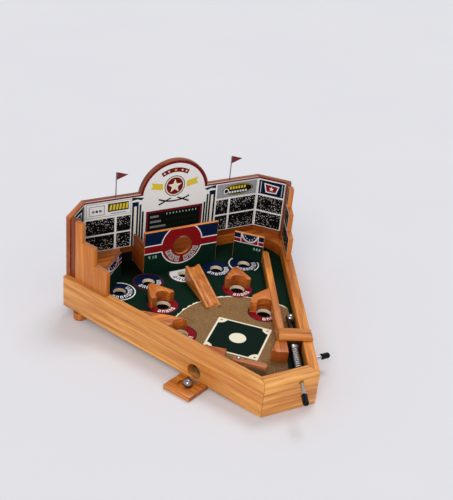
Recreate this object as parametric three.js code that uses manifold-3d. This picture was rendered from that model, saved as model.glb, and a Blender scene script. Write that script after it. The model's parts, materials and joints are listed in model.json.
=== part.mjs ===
// Tabletop pinball game: a fan-shaped wooden cabinet with a stepped backdrop, a green playfield with
// nine scoring holes, a spring plunger in a side lane, a swinging bat and a ball tray.
// Millimetres, Z up. The cabinet is built level, then leans on its rear feet.

import * as THREE from 'three';
import { mergeVertices } from 'three/addons/utils/BufferGeometryUtils.js';
import Module from 'manifold-3d';

const wasm = await Module();
wasm.setup();

const degree = Math.PI / 180;

// General clearances and cutting.
const seatGap = 0.3;
const slideClearance = 0.5;
const overrun = 6;
const roundSegments = 40;
const rodSides = 20;
const pinSides = 16;
const batSides = 28;
const holeSides = 72;
const footSides = 28;
const notchSteps = 20;
const quarterTurn = 90 * degree;
const halfTurn = 180 * degree;
const fullTurn = 360 * degree;

// Cabinet frame. X is to the right, Y to the back, from the middle of the front face.
const overallWidth = 368;
const frontWidth = 79.4;
const cabinetDepth = 361.5;
const cornerWidth = 40.8;
const cornerRun = 40.5;
const railHeight = 48.8;
const sideRailThickness = 13.5;
const frontRailThickness = 19.2;
const edgeChamfer = 1.2;
const grooveDepth = 4;

// Backdrop.
const backdropHeight = 141.3;
const backdropThickness = 7;
const cornerInset = 5.7;
const archHalfWidth = 55;
const archRise = 46.2;
const archX = -1;
const postInset = 7;
const postRun = 19;

// Stepped panels on the side rails.
const steppedInset = 4.6;
const steppedThickness = 6.9;
const treadRun = 24.2;
const topTreadRun = 12.2;
const stepDrops = [55.5, 28.4];

// Boards.
const playfieldTop = 31.75;
const playfieldThickness = 9.5;
const playfieldTongue = 4;
const bottomBoardLevel = 3;
const bottomBoardThickness = 3;
const guideStripThickness = 6;
const guideStripEnd = 165;

// Scoring holes: shares of the cabinet's half width at the hole, and of its depth.
// The holes of the back row are smaller than the others.
const holeDiameter = 21.3;
const backHoleDiameter = 17.7;
const backHoles = ['leftCorner', 'leftField', 'deepCenter', 'rightField', 'rightCorner'];
const holePlaceShares = {
  leftCorner: [-0.688, 0.778],
  leftField: [-0.382, 0.805],
  deepCenter: [-0.0444, 0.8094],
  rightField: [0.266, 0.805],
  rightCorner: [0.537, 0.8],
  leftHooded: [-0.497, 0.632],
  rightHooded: [0.335, 0.637],
};
const pocketHoleShares = [-0.024, 0.927];

// The infield holes: one beside the left rail, the other beside the lane divider.
const leftInfieldRunShare = 0.452;
const leftInfieldDepth = 29.5;
const rightInfieldRunShare = 0.469;
const rightInfieldStep = 9.9;

// Wooden hoods behind the hooded holes.
const notchWall = 0.35;
const hoodHalfWidth = 18.5;
const hoodShoulder = 5;
const hoodApexDepth = 34;
const hoodApexHalfWidth = 3.3;
const leftHoodTurn = 10 * degree;
const rightHoodTurn = -22 * degree;

// The infield hoods, from their holes: one leans on the lane divider, the other on the left rail.
const rightInfieldHood = { front: 0.7, side: 20.5, shoulder: 18.7, shoulderSide: 15.5, back: 40 };
const leftInfieldHood = { railRun: 59.1, cornerX: -4, cornerY: 21.8, tipX: 12.5, tipY: 6.5, footY: 1.4 };
const rightNotchStart = 160 * degree;
const leftNotchStart = 172 * degree;
const leftNotchEnd = 20 * degree;

// Ramp up to the fence hole, turned a little towards it.
const rampX = -4.8;
const rampWidth = 22;
const rampTurn = 2.5 * degree;
const rampFrontShare = 0.548;
const rampBackShare = 0.766;
const rampLip = 2.6;
const rampTopShare = 0.644;
const rampGrooveRadius = 10;
const rampGrooveDepth = 3.6;

// Centre fence with its hole, and the boards that tie it to the backdrop.
const fencePlaceShare = 0.8675;
const fenceThickness = 4.5;
const fenceLeft = -63.7;
const fenceRight = 54.5;
const fenceHeight = 98.4;
const fenceHoleX = -3.2;
const fenceHoleShare = 0.565;
const fenceHoleDiameter = 30.4;
const fenceSideDrop = 21.4;

// Low field panels at 45 degrees.
const fieldPanelTop = 75.9;
const fieldPanelThickness = 4;
const fieldPanelTurn = 45 * degree;
const leftPanelEndShares = [-0.547, 0.867];
const rightPanelEndShares = [0.468, 0.871];

// Blocks in the back corners.
const cornerBlockTop = 57.5;
const cornerBlockReach = 14.7;
const guideArcRadius = 59.6;
const guideArcBite = 4.2;
const guideTipThickness = 2.5;

// Plunger lane along the right rail: runs are measured from the plunger hole in the front rail.
const laneWidth = 21.2;
const dividerThickness = 9.4;
const dividerEndShare = 0.8766;
const dividerTip = 5;
const dividerTipShares = [0.15, 0.75];
const bridgeFront = 75.5;
const bridgeRun = 23.5;
const bridgeHeight = 6.2;
const bridgeLip = 1.6;
const bridgeChamfer = 2.6;
const endBlockRun = 24;
const endBlockSide = 13.8;
const endBlockBelly = 21.9;
const endBlockBellyRun = 54.4;
const endBlockFrontSide = 14.3;

// Plunger.
const plungerZ = 40.4;
const plungerRadius = 2.4;
const plungerTip = 138;
const plungerBareRun = 25;
const plungerFlangeRadius = 6.4;
const plungerFlangeRun = 3.2;
const plungerFlangeGap = 0.7;
const capRadius = 4.1;
const capRun = 18;
const capBore = 11;
const springRadius = 4.5;
const springWireRadius = 0.5;
const springTurns = 13;

// Bat, its shaft and crank, and the rod that works it.
const batX = -38.5;
const batY = 69.5;
const batZ = 39.7;
const batTurn = -44 * degree;
const batLength = 48.9;
const batHandleRun = 9.2;
const batBarrelRadius = 4.7;
const batBlockRadius = 4.2;
const batNeckRadius = 3.2;
const batNeckRun = 8.2;
const batNeckLength = 2.6;
const shaftRadius = 1.6;
const shaftCollarRadius = 3.2;
const crankRadius = 10;
const crankTurn = -120 * degree;
const batSwing = 80 * degree;
const crankWidth = 5;
const crankThickness = 2.5;
const crankPinRadius = 1.5;
const screwHeadRadius = 2.6;
const screwHeadHeight = 1.8;
const screwSeatDepth = 0.9;
const screwShankRadius = 1.1;
const screwShankLength = 6;
const batRodStep = 8.5;
const batRodZ = 18.8;
const batRodRadius = 2.4;
const batCapReach = 17.9;
const batCapRun = 13.4;
const batCapBore = 8.4;
const yokeThickness = 3;
const yokeWall = 1.8;
const yokeSlotClearance = 0.8;
const yokeSlotRun = 7.6;
const rodGuideX = -24;
const rodGuideLength = 10;
const rodGuideWidth = 14;
const rodCollarRadius = 5;
const rodCollarLength = 4;
const batSpringRadius = 4.4;
const batSpringWall = 1;

// Wedge that leads the ball past the bat.
const wedgeFront = 70.5;
const wedgeBack = 110;
const wedgeHeel = 76;
const wedgeHeelDepth = 17;
const wedgeTip = 81;
const wedgeTipDepth = 28.5;

// Ball return bore and tray on the left.
const boreRun = 109;
const boreZ = 12;
const boreRadius = 10.75;
const trayFrontRun = 84.5;
const trayWidth = 43.3;
const trayDepth = 37.5;
const trayHeight = 6.2;
const trayFloor = 2.5;
const pocketRun = 107.3;
const pocketDepth = 17.2;
const pocketRadius = 10.5;
const pocketChannel = 17;

// Balls, feet and pennants.
const ballRadius = 6.35;
const ballDetail = 5;
const laneBallSide = 3.5;
const trayBallRun = 104;
const footRunShare = 0.923;
const footRadius = 9.4;
const footRound = 3;
const footHeight = 12.5;
const poleX = 92;
const poleRise = 37.7;
const poleRadius = 0.8;
const poleSocket = 8;
const poleSides = 12;
const pennantLength = 17;
const pennantHeight = 11.7;
const pennantThickness = 0.6;

// Derived directions and levels.
const sideRailRun = cabinetDepth - cornerRun;
const backHalfWidth = overallWidth / 2 - cornerWidth;
const flare = Math.atan((overallWidth - frontWidth) / 2 / sideRailRun);
const railLength = sideRailRun / Math.cos(flare);
const footRun = footRunShare * railLength;
const footY = footRun * Math.cos(flare) + (sideRailThickness / 2) * Math.sin(flare);
const lean = Math.atan(footHeight / footY);
const seatLevel = playfieldTop + seatGap;
const underPlayfield = playfieldTop - playfieldThickness;
const underTongue = playfieldTop - playfieldTongue;
const bottomBoardTop = bottomBoardLevel + bottomBoardThickness;
const laneRight = laneWidth / 2;
const laneLeft = -laneWidth / 2;
const plungerX = frontWidth / 2 - (laneRight + sideRailThickness) / Math.cos(flare);
const plungerFlangeFront = bridgeFront - plungerFlangeGap - plungerFlangeRun;
const dividerLeft = laneLeft - dividerThickness;
const dividerEnd = dividerEndShare * railLength;
const steppedRun = railLength - postRun - topTreadRun - stepDrops.length * treadRun;
const rampFront = rampFrontShare * cabinetDepth;
const rampBack = rampBackShare * cabinetDepth;
const fenceY = fencePlaceShare * cabinetDepth;
const fenceHoleZ = playfieldTop + fenceHoleShare * (fenceHeight - playfieldTop);
const fenceSideHeight = fenceHeight - fenceSideDrop;
const rampTop = playfieldTop + rampTopShare * (fenceHoleZ - playfieldTop);
const batRodY = batY - batRodStep;
const batCapStart = frontWidth / 2 + batRodY * Math.tan(flare) + batCapReach;
const batRodEnd = batCapStart + batCapBore - seatGap;
const poleTop = backdropHeight + poleRise;

const finish = (color, roughness, metalness = 0) =>
  new THREE.MeshStandardMaterial({ color, roughness, metalness });
const oak = finish(0xc9803f, 0.5);
const darkOak = finish(0x9c5527, 0.6);
const green = finish(0x0f3b2e, 0.6);
const printed = finish(0xd8d8d4, 0.6);
const board = finish(0x8a6a48, 0.8);
const chrome = finish(0xc8c8c8, 0.15, 1);
const blackCap = finish(0x101010, 0.35);
const flagRed = finish(0x7c1f24, 0.7);

const vec = (x, y) => new THREE.Vector2(x, y);
const point = (x, y, z) => new THREE.Vector3(x, y, z);
const upward = point(0, 0, 1);
const downward = point(0, 0, -1);

// A place beside a side rail: a run along its outer face, then a depth in from that face.
function railPoint(side, run, depth) {
  const x = frontWidth / 2 + run * Math.sin(flare) - depth * Math.cos(flare);
  return vec(side * x, run * Math.cos(flare) + depth * Math.sin(flare));
}

// A place in the plunger lane: a run from the front face, then a step to the right.
function lanePoint(run, across) {
  const x = plungerX + run * Math.sin(flare) + across * Math.cos(flare);
  return vec(x, run * Math.cos(flare) - across * Math.sin(flare));
}

// A place on the playfield: a share of the cabinet's half width there, and of its depth.
function fieldPlace([widthShare, depthShare]) {
  const y = depthShare * cabinetDepth;
  return vec(widthShare * (frontWidth / 2 + y * Math.tan(flare)), y);
}

const mirror = (place) => vec(-place.x, place.y);
const sided = (places, side) => (side > 0 ? places : places.map(mirror).reverse());
const lift = (place, z) => point(place.x, place.y, z);

// Where two lines in the plan meet, each given by a place and a direction.
function meet(start, direction, other, otherDirection) {
  const run = other.clone().sub(start).cross(otherDirection) / direction.cross(otherDirection);
  return start.clone().addScaledVector(direction, run);
}

const between = (from, to) => to.clone().sub(from).normalize();
const railDirection = vec(Math.sin(flare), Math.cos(flare));
const backCorner = vec(backHalfWidth, cabinetDepth);
const panelEnd = railPoint(1, railLength, cornerInset);
const panelDirection = between(panelEnd, backCorner);
const sideCorner = meet(panelEnd, panelDirection, railPoint(1, 0, 0), railDirection);
const outerPlan = [
  vec(-frontWidth / 2, 0), vec(frontWidth / 2, 0), sideCorner, backCorner,
  mirror(backCorner), mirror(sideCorner),
];

// The cabinet's plan with each wall's line moved inward.
function insetPlan(front, side, back) {
  const insets = [front, side, back, back, back, side];
  const edges = outerPlan.map((place, i) => {
    const direction = between(place, outerPlan[(i + 1) % outerPlan.length]);
    const inward = vec(-direction.y, direction.x);
    return { place: place.clone().addScaledVector(inward, insets[i]), direction };
  });
  return edges.map((edge, i) => {
    const previous = edges[(i + edges.length - 1) % edges.length];
    return meet(previous.place, previous.direction, edge.place, edge.direction);
  });
}

const innerPlan = insetPlan(frontRailThickness, sideRailThickness, backdropThickness);

const leftInfieldRun = leftInfieldRunShare * railLength;
const rightInfieldRun = rightInfieldRunShare * railLength;
const rightInfieldSide = dividerLeft - rightInfieldStep;
const holePlaces = {
  leftInfield: railPoint(-1, leftInfieldRun, leftInfieldDepth),
  rightInfield: lanePoint(rightInfieldRun, rightInfieldSide),
};
for (const [name, shares] of Object.entries(holePlaceShares)) holePlaces[name] = fieldPlace(shares);
const pocketHole = fieldPlace(pocketHoleShares);
const leftPanelEnd = fieldPlace(leftPanelEndShares);
const rightPanelEnd = fieldPlace(rightPanelEndShares);

function shapeOf(outline, holes = []) {
  const shape = new THREE.Shape(outline);
  shape.holes.push(...holes);
  return shape;
}

function circle(x, y, radius) {
  return new THREE.Path().absarc(x, y, radius, 0, 2 * Math.PI, true);
}

// An upright prism on a plan outline.
function prism(outline, bottom, top, holes = []) {
  const options = { depth: top - bottom, bevelEnabled: false, curveSegments: roundSegments };
  return new THREE.ExtrudeGeometry(shapeOf(outline, holes), options).translate(0, 0, bottom);
}

// An upright plate: its outline runs along a direction and up, and its thickness goes to the right.
function uprightPlate(start, direction, outline, thickness, holes = []) {
  const options = { depth: thickness, bevelEnabled: false, curveSegments: roundSegments };
  const geometry = new THREE.ExtrudeGeometry(shapeOf(outline, holes), options);
  const placement = new THREE.Matrix4().makeBasis(
    lift(direction, 0), upward, point(direction.y, -direction.x, 0),
  );
  return geometry.applyMatrix4(placement.setPosition(start.x, start.y, 0));
}

const rectangle = (left, bottom, right, top) =>
  [vec(left, bottom), vec(right, bottom), vec(right, top), vec(left, top)];

// A round piece turned about a line from a start point; the profile is radius against run.
function turned(profile, start, direction, sides = rodSides) {
  const turn = new THREE.Quaternion().setFromUnitVectors(point(0, 1, 0), direction.clone().normalize());
  const geometry = new THREE.LatheGeometry(profile, sides).applyQuaternion(turn);
  return geometry.translate(start.x, start.y, start.z);
}

function rod(from, to, radius, sides = rodSides) {
  const run = to.distanceTo(from);
  const profile = [vec(0, 0), vec(radius, 0), vec(radius, run), vec(0, run)];
  return turned(profile, from, to.clone().sub(from), sides);
}

// Quarter circle points for a rounded end, from the full radius to a smaller one.
function roundedEnd(radius, run, round, steps = 5) {
  return Array.from({ length: steps + 1 }, (unused, i) => {
    const angle = (i / steps) * quarterTurn;
    return vec(radius - round + round * Math.cos(angle), run - round + round * Math.sin(angle));
  });
}

function toSolid(geometry) {
  const plain = geometry.clone();
  plain.deleteAttribute('normal');
  plain.deleteAttribute('uv');
  const merged = mergeVertices(plain);
  const vertProperties = merged.attributes.position.array;
  const triVerts = Uint32Array.from(merged.index.array);
  return new wasm.Manifold(new wasm.Mesh({ numProp: 3, vertProperties, triVerts }));
}

function toGeometry(solid) {
  const mesh = solid.getMesh();
  const geometry = new THREE.BufferGeometry();
  geometry.setAttribute('position', new THREE.BufferAttribute(mesh.vertProperties, mesh.numProp));
  geometry.setIndex(new THREE.BufferAttribute(mesh.triVerts, 1));
  geometry.computeVertexNormals();
  return geometry;
}

const cut = (body, ...cutters) =>
  toGeometry(cutters.reduce((left, cutter) => left.subtract(toSolid(cutter)), toSolid(body)));
const joined = (...bodies) =>
  toGeometry(bodies.slice(1).reduce((whole, body) => whole.add(toSolid(body)), toSolid(bodies[0])));
const common = (body, other) => toGeometry(toSolid(body).intersect(toSolid(other)));

const table = new THREE.Group();
const cabinet = new THREE.Group();
cabinet.rotation.x = lean;
table.add(cabinet);

function piece(name, geometry, material, parent = cabinet) {
  const mesh = new THREE.Mesh(geometry, material);
  mesh.name = name;
  parent.add(mesh);
  return mesh;
}

// A square bar along an edge, turned on its corner, that bevels the edge.
function edgeCutter(from, to, size) {
  const run = to.clone().sub(from);
  const length = run.length() + 2 * overrun;
  const across = size * Math.SQRT2;
  const bar = new THREE.BoxGeometry(length, across, across).rotateX(45 * degree);
  const heading = Math.atan2(run.y, run.x);
  const middle = from.clone().addScaledVector(run, 1 / 2);
  return bar.rotateZ(heading).translate(middle.x, middle.y, middle.z);
}

// Grooves in the rails that take the edges of a board.
function boardGroove(bottom, top) {
  const front = frontRailThickness - grooveDepth;
  const side = sideRailThickness - grooveDepth;
  return prism(insetPlan(front, side, backdropThickness), bottom - seatGap, top + seatGap);
}

function boardPlan() {
  const tongue = grooveDepth - seatGap;
  return insetPlan(frontRailThickness - tongue, sideRailThickness - tongue, backdropThickness + seatGap);
}

const grooves = () => [
  boardGroove(underTongue, playfieldTop),
  boardGroove(bottomBoardLevel, bottomBoardTop),
];

const boreAxis = [railPoint(-1, boreRun, -overrun), railPoint(-1, boreRun, sideRailThickness + seatGap)];
const returnBore = () => rod(lift(boreAxis[0], boreZ), lift(boreAxis[1], boreZ), boreRadius, roundSegments);

function makeRails() {
  const frontLeft = vec(-frontWidth / 2, 0);
  const frontRight = vec(frontWidth / 2, 0);
  const plungerHole = rod(
    lift(lanePoint(-overrun, 0), plungerZ),
    lift(lanePoint(2 * frontRailThickness, 0), plungerZ),
    plungerRadius + slideClearance,
  );
  const frontEdge = edgeCutter(lift(frontLeft, railHeight), lift(frontRight, railHeight), edgeChamfer);
  const front = prism([frontLeft, frontRight, innerPlan[1], innerPlan[0]], 0, railHeight);
  piece('front_rail', cut(front, plungerHole, frontEdge, ...grooves()), oak);

  const mitre = seatGap / Math.cos(flare);
  const innerCorner = innerPlan[1].clone().addScaledVector(railDirection, mitre);
  const outline = [
    railPoint(1, mitre, 0), railPoint(1, railLength, 0),
    railPoint(1, railLength, sideRailThickness), innerCorner,
  ];
  const rodHole = rod(
    point(innerPlan[1].x, batRodY, batRodZ),
    point(batCapStart, batRodY, batRodZ),
    batRodRadius + slideClearance,
  );
  const names = { '-1': 'left_side_rail', 1: 'right_side_rail' };
  for (const side of [-1, 1]) {
    const ends = [railPoint(side, 0, 0), railPoint(side, railLength, 0)].map((end) => lift(end, railHeight));
    const hole = side > 0 ? rodHole : returnBore();
    const rail = prism(sided(outline, side), 0, railHeight);
    piece(names[side], cut(rail, edgeCutter(ends[0], ends[1], edgeChamfer), hole, ...grooves()), oak);
  }
}

// The backdrop: an arched main panel and a panel across each back corner.
const archRadius = (archHalfWidth ** 2 + archRise ** 2) / (2 * archRise);

function archOutline() {
  const rise = Math.asin(archHalfWidth / archRadius);
  const centre = vec(archX, backdropHeight + archRise - archRadius);
  const start = quarterTurn - rise;
  const arc = new THREE.Path().absarc(centre.x, centre.y, archRadius, start, halfTurn - start, false);
  return [
    vec(-backHalfWidth, 0), vec(backHalfWidth, 0), vec(backHalfWidth, backdropHeight),
    ...arc.getPoints(roundSegments), vec(-backHalfWidth, backdropHeight),
  ];
}

const poleSocketCutter = (side) => rod(
  point(side * poleX, cabinetDepth - backdropThickness / 2, backdropHeight - poleSocket),
  point(side * poleX, cabinetDepth - backdropThickness / 2, backdropHeight + overrun),
  poleRadius + seatGap,
  poleSides,
);

function makeBackdrop() {
  const inner = innerPlan[3];
  const plan = prism(
    [mirror(inner), inner, backCorner, mirror(backCorner)], -overrun, backdropHeight + archRise + overrun,
  );
  const panel = uprightPlate(vec(0, cabinetDepth), vec(1, 0), archOutline(), backdropThickness);
  piece('main_backboard', cut(common(panel, plan), poleSocketCutter(-1), poleSocketCutter(1)), printed);

  const inward = vec(panelDirection.y, -panelDirection.x).negate();
  const innerStart = panelEnd.clone().addScaledVector(inward, backdropThickness);
  const innerEnd = meet(innerStart, panelDirection, panelEnd, railDirection);
  const corner = [
    panelEnd, backCorner.clone().addScaledVector(panelDirection, -seatGap),
    inner.clone().addScaledVector(panelDirection, -seatGap), innerEnd,
  ];
  const clearance = sideRailThickness + seatGap;
  const railEnd = [
    railPoint(1, railLength - postRun, -overrun), railPoint(1, railLength + seatGap, -overrun),
    railPoint(1, railLength + seatGap, clearance), railPoint(1, railLength - postRun, clearance),
  ];
  const postFront = railLength - postRun + seatGap;
  const postFace = innerStart.clone().addScaledVector(inward, seatGap);
  const facing = (depth) => meet(postFace, panelDirection, railPoint(1, 0, depth), railDirection);
  const post = [
    railPoint(1, postFront, postInset), facing(postInset), facing(sideRailThickness),
    railPoint(1, postFront, sideRailThickness),
  ];
  const names = { '-1': 'left', 1: 'right' };
  for (const side of [-1, 1]) {
    const notch = prism(sided(railEnd, side), -overrun, railHeight + seatGap);
    const back = prism(sided(corner, side), 0, backdropHeight);
    piece(`${names[side]}_back_panel`, cut(back, notch), printed);
    const upright = prism(sided(post, side), railHeight + seatGap, backdropHeight);
    piece(`${names[side]}_corner_post`, upright, darkOak);
  }
}

function makeSteppedPanels() {
  const bottom = railHeight + seatGap;
  const outline = [vec(steppedRun, bottom)];
  let run = steppedRun;
  for (const height of stepDrops.map((drop) => backdropHeight - drop)) {
    outline.push(vec(run, height), vec(run + treadRun, height));
    run += treadRun;
  }
  outline.push(vec(run, backdropHeight), vec(run + topTreadRun, backdropHeight));
  outline.push(vec(run + topTreadRun, bottom));
  outline.reverse();
  const right = railPoint(1, 0, steppedInset + steppedThickness);
  const left = railPoint(-1, 0, steppedInset);
  piece('right_stepped_panel', uprightPlate(right, railDirection, outline, steppedThickness), oak);
  piece('left_stepped_panel', uprightPlate(left, mirror(railDirection), outline, steppedThickness), oak);
}

// The playfield board: a thin tongue all round it sits in the rails' grooves, and a recess under its
// front leaves room for the bat's crank and rod.
function makeBoards() {
  const back = batY + crankWidth;
  const recess = rectangle(
    batX - crankRadius - crankWidth, batRodY - rodGuideWidth / 2 - slideClearance,
    railPoint(1, back, 0).x, back,
  );
  const body = insetPlan(
    frontRailThickness + seatGap, sideRailThickness + seatGap, backdropThickness + seatGap,
  );
  const holes = Object.entries({ ...holePlaces, pocket: pocketHole }).map(([name, place]) => rod(
    lift(place, underPlayfield - overrun), lift(place, playfieldTop + overrun),
    (backHoles.includes(name) ? backHoleDiameter : holeDiameter) / 2, holeSides,
  ));
  const shaftHole = rod(
    point(batX, batY, underPlayfield), point(batX, batY, railHeight), shaftRadius + slideClearance,
  );
  const whole = joined(
    prism(boardPlan(), underTongue, playfieldTop), prism(body, underPlayfield, underTongue),
  );
  const recessCutter = prism(recess, underPlayfield - overrun, underTongue);
  piece('playfield_board', cut(whole, recessCutter, shaftHole, ...holes), green);
  piece('bottom_board', cut(prism(boardPlan(), bottomBoardLevel, bottomBoardTop), returnBore()), board);

  const left = railPoint(-1, boreRun - boreRadius, sideRailThickness + seatGap);
  const right = railPoint(1, guideStripEnd, sideRailThickness + seatGap);
  const direction = between(left, right);
  const front = vec(direction.y, -direction.x).multiplyScalar(guideStripThickness);
  const strip = [
    meet(left.clone().add(front), direction, left, mirror(railDirection)),
    meet(right.clone().add(front), direction, right, railDirection), right, left,
  ];
  piece('return_guide_strip', prism(strip, bottomBoardTop + seatGap, underPlayfield - seatGap), board);
}

const notchRadius = holeDiameter / 2 + notchWall;

// Points on the wall of a hood's notch round its hole, between two directions.
function notchArc({ x, y }, from, to) {
  return Array.from({ length: notchSteps + 1 }, (unused, i) => {
    const angle = from + (to - from) * (i / notchSteps);
    return vec(x + notchRadius * Math.cos(angle), y + notchRadius * Math.sin(angle));
  });
}

function hoodPlan(hole, turn) {
  const outline = [
    vec(hoodHalfWidth, 0), vec(hoodHalfWidth, hoodShoulder), vec(hoodApexHalfWidth, hoodApexDepth),
    vec(-hoodApexHalfWidth, hoodApexDepth), vec(-hoodHalfWidth, hoodShoulder), vec(-hoodHalfWidth, 0),
    ...notchArc(vec(0, 0), halfTurn, 0),
  ];
  return outline.map((place) => place.rotateAround(vec(0, 0), turn).add(hole));
}

function makeHoods() {
  const leftHood = hoodPlan(holePlaces.leftHooded, leftHoodTurn);
  const rightHood = hoodPlan(holePlaces.rightHooded, rightHoodTurn);
  piece('left_field_hood', prism(leftHood, seatLevel, railHeight), oak);
  piece('right_field_hood', prism(rightHood, seatLevel, railHeight), oak);

  const { front, side, shoulder, shoulderSide, back } = rightInfieldHood;
  const wall = dividerLeft - seatGap;
  const wallAngle = Math.acos(Math.min(1, (wall - rightInfieldSide) / notchRadius)) - flare;
  const right = [
    lanePoint(rightInfieldRun + front, rightInfieldSide - side),
    ...notchArc(holePlaces.rightInfield, rightNotchStart, Math.max(wallAngle, 0)),
    lanePoint(rightInfieldRun + back, wall),
    lanePoint(rightInfieldRun + shoulder, rightInfieldSide - shoulderSide),
  ];
  const cell = prism(right, seatLevel, railHeight);
  const beyond = prism([
    lanePoint(0, wall), lanePoint(0, laneRight),
    lanePoint(dividerEnd, laneRight), lanePoint(dividerEnd, wall),
  ], 0, railHeight + overrun);
  piece('right_infield_hood', cut(cell, beyond), oak);

  const inner = sideRailThickness + seatGap;
  const hole = holePlaces.leftInfield;
  const { railRun, cornerX, cornerY, tipX, tipY, footY } = leftInfieldHood;
  const foot = meet(vec(0, hole.y + footY), vec(1, 0), railPoint(-1, 0, inner), mirror(railDirection));
  const left = [
    railPoint(-1, leftInfieldRun + railRun, inner), foot,
    ...notchArc(hole, leftNotchStart, leftNotchEnd),
    vec(hole.x + tipX, hole.y + tipY), vec(hole.x + cornerX, hole.y + cornerY),
  ];
  piece('left_infield_hood', prism(left, seatLevel, railHeight), oak);
}

function makeRamp() {
  const lip = playfieldTop + rampLip;
  const outline = [
    vec(rampFront, seatLevel), vec(rampBack, seatLevel), vec(rampBack, rampTop), vec(rampFront, lip),
  ];
  const body = uprightPlate(vec(rampX - rampWidth / 2, 0), vec(0, 1), outline, rampWidth);
  const slope = between(vec(rampFront, lip), vec(rampBack, rampTop));
  const normal = vec(-slope.y, slope.x).multiplyScalar(rampGrooveRadius - rampGrooveDepth);
  const low = vec(rampFront, lip).add(normal).addScaledVector(slope, -rampGrooveRadius);
  const high = vec(rampBack, rampTop).add(normal).addScaledVector(slope, rampGrooveRadius);
  const ends = [low, high].map((end) => point(rampX, end.x, end.y));
  const middle = (rampFront + rampBack) / 2;
  const ramp = cut(body, rod(...ends, rampGrooveRadius, roundSegments));
  piece('ramp', ramp.translate(-rampX, -middle, 0).rotateZ(-rampTurn).translate(rampX, middle, 0), oak);
}

function makeFence() {
  const back = fenceY + fenceThickness;
  const hole = circle(fenceHoleX, fenceHoleZ, fenceHoleDiameter / 2);
  const outline = rectangle(fenceLeft, seatLevel, fenceRight, fenceHeight);
  piece('center_fence_panel', uprightPlate(vec(0, back), vec(1, 0), outline, fenceThickness, [hole]), green);
  const behind = back + seatGap;
  const wall = cabinetDepth - backdropThickness - seatGap;
  const left = rectangle(fenceLeft, behind, fenceLeft + fenceThickness, wall);
  const right = rectangle(fenceRight - fenceThickness, behind, fenceRight, wall);
  piece('left_fence_side_board', prism(left, seatLevel, fenceSideHeight), oak);
  piece('right_fence_side_board', prism(right, seatLevel, fenceSideHeight), oak);
}

const fieldPanelDirection = vec(Math.cos(fieldPanelTurn), Math.sin(fieldPanelTurn));

function makeFieldPanels() {
  const right = vec(fieldPanelDirection.y, -fieldPanelDirection.x);
  const leftBack = leftPanelEnd.clone().addScaledVector(right, -fieldPanelThickness);
  const inner = railPoint(-1, 0, sideRailThickness + seatGap);
  const railSide = meet(leftPanelEnd, fieldPanelDirection, inner, mirror(railDirection));
  const backSide = meet(leftBack, fieldPanelDirection, inner, mirror(railDirection));
  const leftPlan = [backSide, railSide, leftPanelEnd, leftBack];
  piece('left_field_panel', prism(leftPlan, seatLevel, fieldPanelTop), green);

  const heading = vec(fieldPanelDirection.x, -fieldPanelDirection.y);
  const behind = vec(fieldPanelDirection.x, fieldPanelDirection.y).multiplyScalar(fieldPanelThickness);
  const rightBack = rightPanelEnd.clone().add(behind);
  const wall = lanePoint(0, dividerLeft - seatGap);
  const frontEnd = meet(rightPanelEnd, heading, wall, railDirection);
  const backEnd = meet(rightBack, heading, wall, railDirection);
  const rightPlan = [rightPanelEnd, frontEnd, backEnd, rightBack];
  piece('right_field_panel', prism(rightPlan, seatLevel, fieldPanelTop), green);

  const seat = insetPlan(frontRailThickness, sideRailThickness + seatGap, backdropThickness + seatGap);
  const blockBack = leftBack.clone().addScaledVector(right, -seatGap);
  const blockRail = meet(blockBack, fieldPanelDirection, inner, mirror(railDirection));
  const blockRight = leftPanelEnd.x + cornerBlockReach;
  const block = [blockRail, blockBack, vec(blockRight, seat[4].y), seat[4], seat[5]];
  piece('left_corner_block', prism(block, seatLevel, cornerBlockTop), oak);
}

// Block in the right back corner whose hollow face turns the ball out of the lane.
function makeGuideBlock() {
  const seat = insetPlan(frontRailThickness, sideRailThickness + seatGap, backdropThickness + seatGap);
  const arcY = seat[3].y - guideTipThickness - guideArcRadius;
  const arcDepth = sideRailThickness + seatGap + guideArcRadius - guideArcBite;
  const arcX = frontWidth / 2 + arcY * Math.tan(flare) - arcDepth / Math.cos(flare);
  const start = Math.acos(1 - guideArcBite / guideArcRadius) - flare;
  const arc = new THREE.Path().absarc(arcX, arcY, guideArcRadius, start, quarterTurn, false);
  const tip = vec(fenceRight + seatGap, arcY + guideArcRadius);
  const block = [
    ...arc.getPoints(roundSegments / 2), tip, vec(tip.x, seat[3].y), seat[3], seat[2],
  ];
  piece('right_guide_block', prism(block.reverse(), seatLevel, railHeight), oak);
}

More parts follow.
